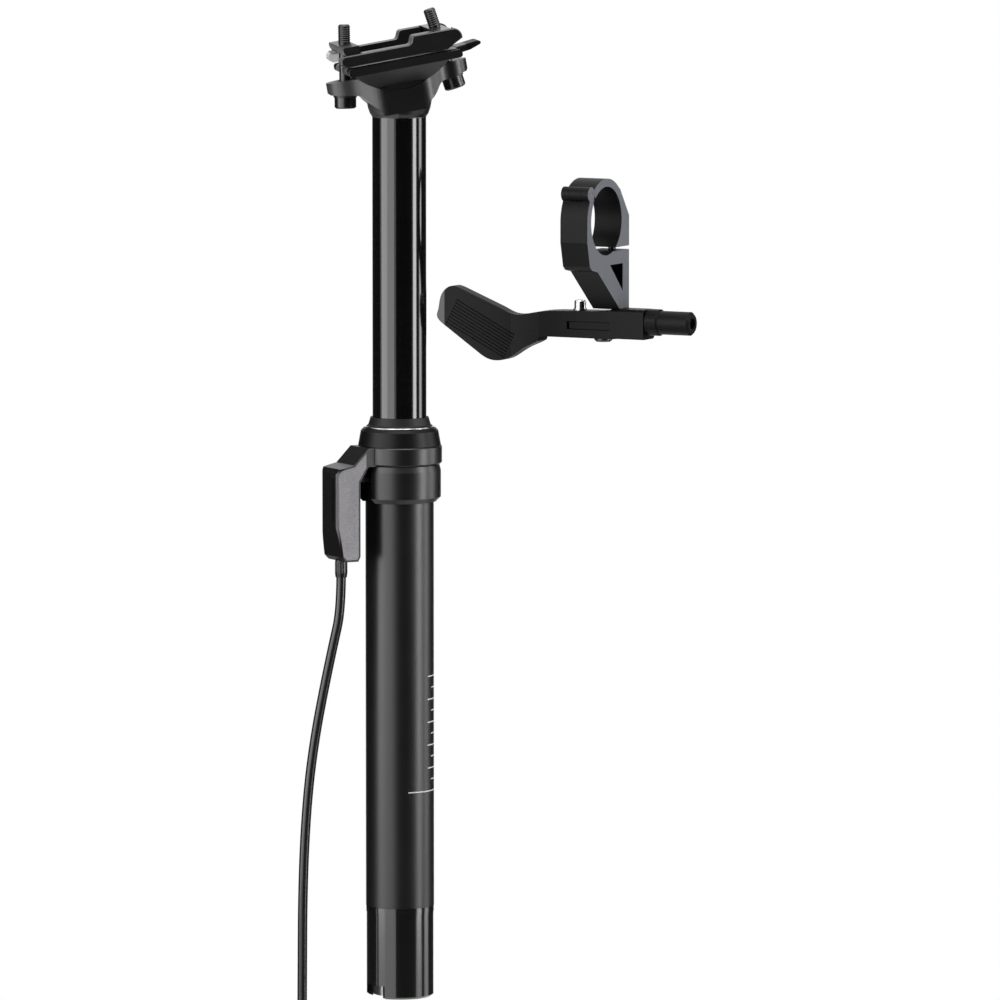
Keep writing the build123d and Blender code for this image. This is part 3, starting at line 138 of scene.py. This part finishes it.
def makeCasing(s):
    data = bpy.data.curves.new("cableCasing", "CURVE")
    data.dimensions = "3D"
    data.bevel_depth = 1.0
    data.bevel_resolution = s["roundness"]
    data.resolution_u = s["stepsPerPoint"]
    data.use_fill_caps = True
    line = data.splines.new("NURBS")
    points = s["route"] + coilPoints(s)
    line.points.add(len(points) - 1)
    for spot, place in zip(line.points, points):
        spot.co = (*place, 1)
        spot.radius = s["radius"]
    line.order_u = 3
    line.use_endpoint_u = True
    casing = bpy.data.objects.new("cableCasing", data)
    bpy.context.scene.collection.objects.link(casing)
    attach(casing, "lower")
    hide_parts("casing_cord", "casing_coil")
    return casing


casing = makeCasing(casingSettings)
print("casing laid")


def finishPiece(shape, name):
    mesh = bpy.data.meshes.new(name)
    shape.to_mesh(mesh)
    shape.free()
    piece = bpy.data.objects.new(name, mesh)
    bpy.context.scene.collection.objects.link(piece)
    return piece


# shader maths: an expression on values adds its Math nodes
class Value:
    def __init__(self, tree, socket):
        self.tree = tree
        self.socket = socket

    def math(self, operation, *others, flip=False):
        inputs = [self, *others]
        if flip:
            inputs.reverse()
        return addNode(self.tree, "ShaderNodeMath", {"operation": operation}, inputs)

    def __add__(self, other):
        return self.math("ADD", other)

    def __radd__(self, other):
        return self.math("ADD", other)

    def __sub__(self, other):
        return self.math("SUBTRACT", other)

    def __rsub__(self, other):
        return self.math("SUBTRACT", other, flip=True)

    def __mul__(self, other):
        return self.math("MULTIPLY", other)

    def __rmul__(self, other):
        return self.math("MULTIPLY", other)

    def __truediv__(self, other):
        return self.math("DIVIDE", other)

    def __gt__(self, other):
        return self.math("GREATER_THAN", other)

    def __lt__(self, other):
        return self.math("LESS_THAN", other)


def addNode(tree, kind, settings=None, inputs=(), output=0):
    node = tree.nodes.new(kind)
    for name, value in (settings or {}).items():
        if name == "stops":
            ramp = node.color_ramp
            while len(ramp.elements) < len(value):
                ramp.elements.new(1)
            for stop, (place, colour) in zip(ramp.elements, value):
                stop.position = place
                stop.color = colour
        else:
            setattr(node, name, value)
    pairs = inputs.items() if isinstance(inputs, dict) else enumerate(inputs)
    for name, value in pairs:
        if isinstance(value, Value):
            tree.links.new(value.socket, node.inputs[name])
        elif value is not None:
            node.inputs[name].default_value = value
    return Value(tree, node.outputs[output])


def mixColours(tree, factor, first, second):
    return addNode(
        tree,
        "ShaderNodeMix",
        {"data_type": "RGBA"},
        {0: factor, 6: first, 7: second},
        output=2,
    )


def grey(level, warm=0.0):
    return (level * (1 + warm), level, level * (1 - warm), 1)


def noise(tree, where, scale, detail=3.0, roughness=0.5):
    return addNode(
        tree,
        "ShaderNodeTexNoise",
        {},
        {"Vector": where, "Scale": scale, "Detail": detail, "Roughness": roughness},
    )


def stretched(tree, where, scale):
    return addNode(tree, "ShaderNodeMapping", {"vector_type": "POINT"}, {"Vector": where, "Scale": scale})


def insideBox(tree, where, low, high):
    # 1 within a box in the piece's own coordinates, 0 outside it
    split = addNode(tree, "ShaderNodeSeparateXYZ", {}, {0: where}).socket.node
    inside = 1.0
    for axis, least, most in zip(split.outputs, low, high):
        place = Value(tree, axis)
        inside = (place > least) * (place < most) * inside
    return inside


finishes = {
    "anodised_black": {
        "colour": grey(0.002), "fleck": grey(0.004), "roughness": 0.11, "roughSpread": 0.04,
        "grain": (60, 60, 900), "grainBump": 0.00001, "metallic": 0.0, "coat": 0.35, "specular": 0.55,
    },
    "satin_black": {
        "colour": grey(0.002), "fleck": grey(0.004), "roughness": 0.35, "roughSpread": 0.08,
        "grain": (2400, 2400, 2400), "grainBump": 0.00003, "metallic": 0.0, "coat": 0.0, "specular": 0.62,
        "patches": [
            {
                # the far plate's nose is painted light grey: a painted reflection of the light from the left
                # rear
                "low": (-0.04, 0.015, 0.3362), "high": (-0.0255, 0.03, 0.36),
                "colour": grey(0.75), "roughness": 0.35, "metallic": 0.2,
            },
            {
                # the head's front arm and its left facet are painted lighter: a painted highlight where the
                # left lamps fall on them
                "low": (-0.06, -0.0149, 0.300), "high": (-0.002, 0.0149, 0.3345),
                "colour": grey(0.038), "roughness": 0.40, "metallic": 0.0,
            },
        ],
        "dulls": [
            {
                # the bar lever is duller than the post, and its clamp's end faces are painted bluish grey: a
                # painted highlight of the light from the right
                "low": (0.03, -0.08, 0.1), "high": (0.2, 0.08, 0.4),
                "colour": grey(0.004), "roughness": 0.44, "specular": 0.12,
                "ends": {
                    "along": (0.8131, -0.58212, 0), "past": 0.0802, "above": 0.2225,
                    "colour": (0.135, 0.142, 0.156, 1),
                },
            },
            {
                # so is the nut at the top of the tube
                "low": (-0.02, -0.02, 0.1615), "high": (0.02, 0.02, 0.17),
                "colour": grey(0.002), "roughness": 0.40, "specular": 0.2,
            },
        ],
    },
    "gloss_black": {
        "colour": grey(0.002), "fleck": grey(0.004), "roughness": 0.13, "roughSpread": 0.05,
        "grain": (500, 500, 500), "grainBump": 0.00001, "metallic": 0.0, "coat": 0.8, "specular": 0.9,
    },
    "bright_alloy": {
        "colour": grey(0.72), "fleck": grey(0.62), "roughness": 0.22, "roughSpread": 0.14,
        "grain": (300, 300, 3000), "grainBump": 0.00002, "metallic": 1.0, "coat": 0.0, "specular": 0.5,
        "patches": [
            {
                # the front barrel nut is blacked
                "low": (-0.04, -0.03, 0.33), "high": (-0.015, 0.03, 0.37),
                "colour": grey(0.006), "roughness": 0.35, "metallic": 0.0,
            },
            {
                # the scraper ring is painted near black below its upper edge: painted shade, so that only
                # that edge shines
                "low": (-0.02, -0.02, 0.169), "high": (0.02, 0.02, 0.17005),
                "colour": grey(0.004), "roughness": 0.4, "metallic": 0.0,
            },
        ],
    },
    "steel": {
        "colour": grey(0.52), "fleck": grey(0.42), "roughness": 0.30, "roughSpread": 0.15,
        "grain": (400, 400, 2400), "grainBump": 0.00002, "metallic": 1.0, "coat": 0.0, "specular": 0.5,
        "patches": [
            {
                # the washers under the clamp bolts are dark
                "low": (-0.04, -0.01, 0.31), "high": (0.04, 0.01, 0.34),
                "colour": grey(0.02), "roughness": 0.35, "metallic": 0.3,
            },
        ],
    },
    "black_steel": {
        "colour": grey(0.003), "fleck": grey(0.012, 0.05), "roughness": 0.26, "roughSpread": 0.14,
        "grain": (1600, 1600, 1600), "grainBump": 0.00003, "metallic": 0.0, "coat": 0.0, "specular": 0.6,
    },
    "wiper_rubber": {
        "colour": grey(0.003), "fleck": grey(0.006), "roughness": 0.50, "roughSpread": 0.12,
        "grain": (1800, 1800, 1800), "grainBump": 0.00004, "metallic": 0.0, "coat": 0.0, "specular": 0.3,
    },
    "slide_plastic": {
        "colour": grey(0.03), "fleck": grey(0.05), "roughness": 0.5, "roughSpread": 0.12,
        "grain": (1500, 1500, 1500), "grainBump": 0.00004, "metallic": 0.0, "coat": 0.0, "specular": 0.45,
    },
    "cover_paint": {
        "colour": (0.15, 0.145, 0.155, 1), "fleck": (0.40, 0.385, 0.40, 1),
        "roughness": 0.46, "roughSpread": 0.14,
        "grain": (2600, 2600, 2600), "grainBump": 0.00005, "metallic": 0.2, "coat": 0.0, "specular": 0.35,
    },
    "brass": {
        "colour": (0.55, 0.38, 0.13, 1), "fleck": (0.42, 0.28, 0.09, 1),
        "roughness": 0.28, "roughSpread": 0.12,
        "grain": (900, 900, 900), "grainBump": 0.00002, "metallic": 1.0, "coat": 0.0, "specular": 0.5,
    },
    "print_white": {
        "colour": grey(0.70), "fleck": grey(0.55), "roughness": 0.45, "roughSpread": 0.10,
        "grain": (3000, 3000, 3000), "grainBump": 0.00001, "metallic": 0.0, "coat": 0.0, "specular": 0.4,
    },
    "casing": {
        "colour": grey(0.008), "fleck": grey(0.013), "roughness": 0.24, "roughSpread": 0.10,
        "grain": (700, 700, 700), "grainBump": 0.00002, "metallic": 0.0, "coat": 0.15, "specular": 0.5,
    },
}


# what the finishes share: a fine grain and a slow cloud, mixed to a mottle
mottleSettings = {
    "fineDetail": 2.0,
    "fineShare": 0.65,
    "cloudScale": 55.0,
    "cloudDetail": 4.0,
    "cloudRoughness": 0.6,
    "middle": 0.35,
    "contrast": 2.2,
    "bumpStrength": 0.5,
    "coatRoughness": 0.06,
}


def dullPart(tree, where, shader, bump, s):
    # a second, duller shader within a box, with another colour, a painted highlight, past a plane across the
    # box if it has "ends"
    colour = s["colour"]
    if "ends" in s:
        ends = s["ends"]
        along = addNode(
            tree, "ShaderNodeVectorMath", {"operation": "DOT_PRODUCT"}, {0: where, 1: ends["along"]}, output=1
        )
        height = addNode(tree, "ShaderNodeSeparateXYZ", {}, {0: where}, output=2)
        colour = mixColours(tree, (along > ends["past"]) * (height > ends["above"]), colour, ends["colour"])
    dull = addNode(
        tree,
        "ShaderNodeBsdfPrincipled",
        {},
        {
            "Base Color": colour,
            "Roughness": s["roughness"],
            "Specular IOR Level": s["specular"],
            "Normal": bump,
        },
    )
    inside = insideBox(tree, where, s["low"], s["high"])
    return addNode(tree, "ShaderNodeMixShader", {}, {0: inside, 1: shader, 2: dull})


def makeFinish(name, s, shared):
    material = bpy.data.materials.new(name)
    material.use_nodes = True
    tree = material.node_tree
    shader = next(n for n in tree.nodes if n.type == "BSDF_PRINCIPLED")
    where = addNode(tree, "ShaderNodeTexCoord", output=3)
    fine = noise(tree, stretched(tree, where, s["grain"]), 1.0, shared["fineDetail"])
    cloud = noise(tree, where, shared["cloudScale"], shared["cloudDetail"], shared["cloudRoughness"])
    grain = fine * shared["fineShare"] + cloud * (1 - shared["fineShare"])
    mottle = addNode(
        tree, "ShaderNodeClamp", {}, {"Value": (grain - shared["middle"]) * shared["contrast"]}
    )
    colour = mixColours(tree, mottle, s["colour"], s["fleck"])
    rough = cloud * s["roughSpread"] + (s["roughness"] - s["roughSpread"] / 2)
    bump = addNode(
        tree,
        "ShaderNodeBump",
        {},
        {"Strength": shared["bumpStrength"], "Distance": s["grainBump"], "Height": fine},
    )
    metal = s["metallic"]
    shader.inputs["Metallic"].default_value = metal
    for patch in s.get("patches", []):
        here = insideBox(tree, where, patch["low"], patch["high"])
        colour = mixColours(tree, here, colour, patch["colour"])
        rough = rough + here * (patch["roughness"] - rough)
        metal = here * (patch["metallic"] - metal) + metal
        tree.links.new(metal.socket, shader.inputs["Metallic"])
    tree.links.new(colour.socket, shader.inputs["Base Color"])
    tree.links.new(rough.socket, shader.inputs["Roughness"])
    tree.links.new(bump.socket, shader.inputs["Normal"])
    surface = Value(tree, shader.outputs[0])
    for part in s.get("dulls", []):
        surface = dullPart(tree, where, surface, bump, part)
    out = next(n for n in tree.nodes if n.type == "OUTPUT_MATERIAL")
    tree.links.new(surface.socket, out.inputs["Surface"])
    shader.inputs["Specular IOR Level"].default_value = s["specular"]
    shader.inputs["Coat Weight"].default_value = s["coat"]
    shader.inputs["Coat Roughness"].default_value = shared["coatRoughness"]
    return material


materials = {name: makeFinish(name, s, mottleSettings) for name, s in finishes.items()}


def dressFrame():
    slotOf = {one["node"]: one["material_slot"] for one in frame["record"]["subparts"]}
    for name, node in nodes.items():
        finish = materials[slotOf[name]]
        if not node.material_slots:
            node.data.materials.append(finish)
        for slot in node.material_slots:
            slot.material = finish


dressFrame()
casing.data.materials.append(materials["casing"])
print("finishes made:", len(materials))


# white print on the outer tube: a ruler and the long minimum insertion line
rulerSettings = {
    "radius": 0.0158,
    "lift": 0.00004,  # how far the ink stands out of the tube
    "lineHeight": 0.0005,
    "tickEnd": 100.0,  # degrees from the camera's side, to the right
    "longStart": 54.8,
    "shortStart": 66.6,
    "foot": 0.0017,  # height of the long line
    "pitch": 0.01066,
    "count": 5,
    "lineTurns": (15.0, 118.0),
    "segments": 12,
}


rulerZero = Vector(cameraSettings["toCamera"]).angle_signed(Vector((1, 0)))


def arcStrip(sheet, s, start, end, height, tall):
    # a thin strip bent round the tube, from one turn to another
    made = bmesh.ops.create_grid(sheet, x_segments=s["segments"], y_segments=1, size=0.5)
    top = bmesh.ops.extrude_face_region(sheet, geom=list({f for v in made["verts"] for f in v.link_faces}))
    raised = {v for v in top["geom"] if isinstance(v, bmesh.types.BMVert)}
    for v in set(made["verts"]) | raised:
        turn = radians(start + (v.co.x + 0.5) * (end - start)) + rulerZero
        reach = s["radius"] + (s["lift"] if v in raised else -s["lift"])
        v.co = (reach * cos(turn), reach * sin(turn), height + v.co.y * tall)


def makeRuler(s):
    sheet = bmesh.new()
    for k in range(s["count"]):
        height = s["foot"] + k * s["pitch"]
        arcStrip(sheet, s, s["longStart"], s["tickEnd"], height + s["pitch"], s["lineHeight"])
        arcStrip(sheet, s, s["shortStart"], s["tickEnd"], height + s["pitch"] / 2, s["lineHeight"])
    arcStrip(sheet, s, *s["lineTurns"], s["foot"], s["lineHeight"])
    bmesh.ops.recalc_face_normals(sheet, faces=sheet.faces)
    ruler = finishPiece(sheet, "insertionRuler")
    ruler.data.materials.append(materials["print_white"])
    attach(ruler, "lower")


makeRuler(rulerSettings)
print("ruler printed")


# threads on the ends of the two clamp bolts, above their nuts
threadSettings = {
    "bolts": {
        "frontThread": {"foot": (-0.024964, 0, 0.323307), "along": (-0.017452, 0, 0.999848)},
        "rearThread": {"foot": (0.024184, 0, 0.331973), "along": (-0.325568, 0, 0.945519)},
    },
    "from": 0.0236,  # along the bolt, from the ear's underside
    "to": 0.0318,
    "pitch": 0.001,
    "crestStart": 0.4,  # of the pitch
    "crestEnd": 0.6,
    "crest": 0.0028,
    "root": 0.00254,
    "core": 0.0022,  # the hidden inner wall, within the shank
    "sides": 96,
    "weld": 0.000005,
}


def makeThread(name, bolt, s):
    # ridges turned about the bolt's own axis, then laid on the bolt
    shape = bmesh.new()
    count = int((s["to"] - s["from"]) / s["pitch"])
    points = [(s["core"], s["from"]), (s["root"], s["from"])]
    for k in range(count):
        low = s["from"] + k * s["pitch"]
        points += [(s["crest"], low + s["pitch"] * s[share]) for share in ("crestStart", "crestEnd")]
        points += [(s["root"], low + s["pitch"])]
    points += [(s["core"], points[-1][1])]
    verts = [shape.verts.new((radius, 0, height)) for radius, height in points]
    edges = [shape.edges.new(pair) for pair in zip(verts, verts[1:] + verts[:1])]
    bmesh.ops.spin(
        shape,
        geom=verts + edges,
        cent=(0, 0, 0),
        axis=(0, 0, 1),
        angle=2 * pi,
        steps=s["sides"],
        use_merge=True,
    )
    bmesh.ops.remove_doubles(shape, verts=shape.verts, dist=s["weld"])
    turn = Vector((0, 0, 1)).rotation_difference(Vector(bolt["along"])).to_matrix().to_4x4()
    bmesh.ops.transform(shape, verts=shape.verts, matrix=Matrix.Translation(bolt["foot"]) @ turn)
    bmesh.ops.recalc_face_normals(shape, faces=shape.faces)
    thread = finishPiece(shape, name)
    thread.data.materials.append(materials["black_steel"])
    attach(thread, "post")


for name, bolt in threadSettings["bolts"].items():
    makeThread(name, bolt, threadSettings)
print("threads cut")


# the flare of the cradle's keel, out to the edge of its plate, and the short tongue behind
cradleSettings = {
    "origin": (-0.0015, 0, 0.3443),  # the clamp's own frame, which the other places are in
    "lean": 10.0,  # degrees, the rear end up
    "troughX": -0.0018,
    "troughZ": 0.0099,
    "radius": 0.02764,
    "plateTop": -0.0066,  # just within the plate
    "plateBottom": -0.0073,
    "edge": 0.0262,  # half width at the plate
    "waist": 0.0152,  # and where the flare meets the keel
    "waistZ": -0.0155,
    "inner": 0.0148,
    "segments": 240,
    "tongue": [
        (0.0262, -0.0038),
        (0.0369, -0.0026),
        (0.0384, -0.0032),
        (0.0382, -0.0044),
        (0.033, -0.0062),
        (0.0262, -0.0071),
    ],
    "tongueHalf": 0.0075,
    "tongueEdge": 0.0005,
    "tongueEdgeSteps": 2,
}


def cutAway(shape, place, normal):
    # cuts off what lies beyond a plane and closes the cut
    geom = shape.verts[:] + shape.edges[:] + shape.faces[:]
    bmesh.ops.bisect_plane(shape, geom=geom, plane_co=place, plane_no=normal, clear_outer=True)
    bmesh.ops.holes_fill(shape, edges=[e for e in shape.edges if e.is_boundary])


def addFlare(shape, s, side):
    # one side's flare: a disc about the trough's centre, cut level with the plate and leaning in to the keel
    wide = s["edge"] - s["inner"]
    middle = (s["troughX"], side * (s["edge"] + s["inner"]) / 2, s["troughZ"])
    turned = Matrix.Translation(middle) @ Matrix.Rotation(radians(90), 4, "X")
    bmesh.ops.create_cone(
        shape,
        cap_ends=True,
        segments=s["segments"],
        radius1=s["radius"],
        radius2=s["radius"],
        depth=wide,
        matrix=turned,
    )
    lean = (0, side * (s["plateBottom"] - s["waistZ"]), s["waist"] - s["edge"])
    cutAway(shape, (0, 0, s["plateTop"]), (0, 0, 1))
    cutAway(shape, (0, 0, s["waistZ"]), (0, 0, -1))
    cutAway(shape, (0, side * s["edge"], s["plateBottom"]), lean)


def addTongue(shape, s):
    profile = shape.faces.new([shape.verts.new((x, -s["tongueHalf"], z)) for x, z in s["tongue"]])
    drawn = bmesh.ops.extrude_face_region(shape, geom=[profile], use_keep_orig=True)["geom"]
    moved = [v for v in drawn if isinstance(v, bmesh.types.BMVert)]
    bmesh.ops.translate(shape, verts=moved, vec=(0, 2 * s["tongueHalf"], 0))
    bmesh.ops.bevel(
        shape,
        geom=shape.edges[:],
        offset=s["tongueEdge"],
        segments=s["tongueEdgeSteps"],
        profile=0.5,
        affect="EDGES",
        material=-1,
    )


def makeCradle(s):
    onClamp = Matrix.Translation(s["origin"]) @ Matrix.Rotation(radians(-s["lean"]), 4, "Y")
    for name, side in (("keelFlareRight", -1), ("keelFlareLeft", 1), ("cradleTongue", None)):
        shape = bmesh.new()
        if side:
            addFlare(shape, s, side)
        else:
            addTongue(shape, s)
        bmesh.ops.transform(shape, matrix=onClamp, verts=shape.verts)
        bmesh.ops.recalc_face_normals(shape, faces=shape.faces)
        piece = finishPiece(shape, name)
        piece.data.materials.append(materials["satin_black"])
        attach(piece, "clamp")


makeCradle(cradleSettings)
print("cradle flared")


def roundCamera(turn, reach):
    # a place on a circle round the post, by its turn from the camera's side to the right
    toCamera = Vector(cameraSettings["toCamera"]).normalized()
    toRight = Vector((-toCamera.y, toCamera.x))
    return (toCamera * cos(radians(turn)) + toRight * sin(radians(turn))) * reach


# light: soft boxes at both sides, a fill from the camera's side and one from above
lampAim = (0, 0, 0.14)
lamps = {
    "leftBox": {"turn": -66, "reach": 1.7, "height": 0.25, "size": (0.9, 2.4), "power": 23},
    "leftFill": {"turn": -36, "reach": 2.1, "height": 0.45, "size": (1.12, 2.2), "power": 15},
    "rightStrip": {"turn": 69, "reach": 1.7, "height": 0.25, "size": (0.45, 2.4), "power": 26},
    "rightRim": {"turn": 101, "reach": 1.7, "height": 0.25, "size": (0.4, 2.4), "power": 9},
    "topBox": {"turn": 0, "reach": 0.3, "height": 2.3, "size": (1.5, 1.5), "power": 20},
}


def makeLamps(settings):
    for name, s in settings.items():
        data = bpy.data.lights.new(name, "AREA")
        data.shape = "RECTANGLE"
        data.size, data.size_y = s["size"]
        data.energy = s["power"]
        lamp = bpy.data.objects.new(name, data)
        bpy.context.scene.collection.objects.link(lamp)
        lamp.location = (*roundCamera(s["turn"], s["reach"]), s["height"])
        aim = Vector(lampAim) - lamp.location
        lamp.rotation_euler = aim.to_track_quat("-Z", "Y").to_euler()


makeLamps(lamps)

# dark cards between the lamps, bent round the post; each also lies on the floor, from near the post outwards
flags = {
    "frontFlag": {"turns": (-14, 57), "reach": 5.4, "high": 3.2},
    "rightFlag": {"turns": (80, 92), "reach": 2.2, "high": 1.8},
    "rearRightFlag": {"turns": (113, 160), "reach": 1.9, "high": 1.8},
    "rearLeftFlag": {"turns": (-160, -88), "reach": 1.9, "high": 1.8},
}
flagCard = {"start": 0.45, "height": -0.29, "steps": 16, "colour": grey(0.01), "roughness": 0.9}


def makeFlags(settings, card):
    material = bpy.data.materials.new("blackCard")
    material.use_nodes = True
    shader = next(n for n in material.node_tree.nodes if n.type == "BSDF_PRINCIPLED")
    shader.inputs["Base Color"].default_value = card["colour"]
    shader.inputs["Roughness"].default_value = card["roughness"]
    for name, s in settings.items():
        shape = bmesh.new()
        profile = [(card["start"], card["height"]), (s["reach"], card["height"]), (s["reach"], s["high"])]
        points = [shape.verts.new((*roundCamera(s["turns"][0], reach), height)) for reach, height in profile]
        edges = [shape.edges.new(pair) for pair in zip(points, points[1:])]
        angle = radians(s["turns"][1] - s["turns"][0])
        bmesh.ops.spin(
            shape,
            geom=points + edges,
            cent=(0, 0, 0),
            axis=(0, 0, 1),
            angle=angle,
            steps=card["steps"],
        )
        flag = finishPiece(shape, name)
        flag.data.materials.append(material)
        flag.visible_camera = flag.visible_diffuse = flag.visible_shadow = False  # seen in reflections alone


makeFlags(flags, flagCard)


studio = {
    "floor": -0.30,
    "reach": 14.0,
    "worldLight": 0.12,
    "paper": 0.86,
    "shadowReach": 1.2,  # the floor shows the shadow out to here
    "shadowShare": 0.4,
}


def backgroundRay(tree):
    # 1 for what the camera, a mirror or a pane shows of the background
    ray = tree.nodes.new("ShaderNodeLightPath")
    names = ("Is Camera Ray", "Is Glossy Ray", "Is Transmission Ray")
    seen, mirrored, through = (Value(tree, ray.outputs[name]) for name in names)
    return addNode(tree, "ShaderNodeClamp", {}, {"Value": seen + mirrored + through})


def makeWorld(s):
    world = bpy.data.worlds.new("studio")
    world.use_nodes = True
    bpy.context.scene.world = world
    tree = world.node_tree
    tree.nodes.clear()
    strength = backgroundRay(tree) * (1 - s["worldLight"]) + s["worldLight"]
    sky = addNode(tree, "ShaderNodeBackground", {}, {"Color": (1, 1, 1, 1), "Strength": strength})
    out = tree.nodes.new("ShaderNodeOutputWorld")
    tree.links.new(sky.socket, out.inputs["Surface"])


def makeFloor(s):
    sheet = bmesh.new()
    bmesh.ops.create_grid(sheet, x_segments=1, y_segments=1, size=s["reach"])
    bmesh.ops.translate(sheet, verts=sheet.verts, vec=(0, 0, s["floor"]))
    floor = finishPiece(sheet, "floor")
    material = bpy.data.materials.new("paper")
    material.use_nodes = True
    tree = material.node_tree
    tree.nodes.clear()
    shade = addNode(tree, "ShaderNodeBsdfDiffuse", {}, {"Color": grey(s["paper"])})
    glow = addNode(tree, "ShaderNodeEmission", {}, {"Color": (1, 1, 1, 1), "Strength": 1.0})
    where = addNode(tree, "ShaderNodeTexCoord", output=3)
    away = addNode(tree, "ShaderNodeVectorMath", {"operation": "LENGTH"}, {0: where}, output=1)
    near = addNode(tree, "ShaderNodeClamp", {}, {"Value": 1 - away / s["shadowReach"]})
    clear = 1 - near * s["shadowShare"]
    both = addNode(tree, "ShaderNodeMixShader", {}, {0: backgroundRay(tree) * clear, 1: shade, 2: glow})
    out = tree.nodes.new("ShaderNodeOutputMaterial")
    tree.links.new(both.socket, out.inputs["Surface"])
    floor.data.materials.append(material)


makeWorld(studio)
makeFloor(studio)
print("light and floor set")
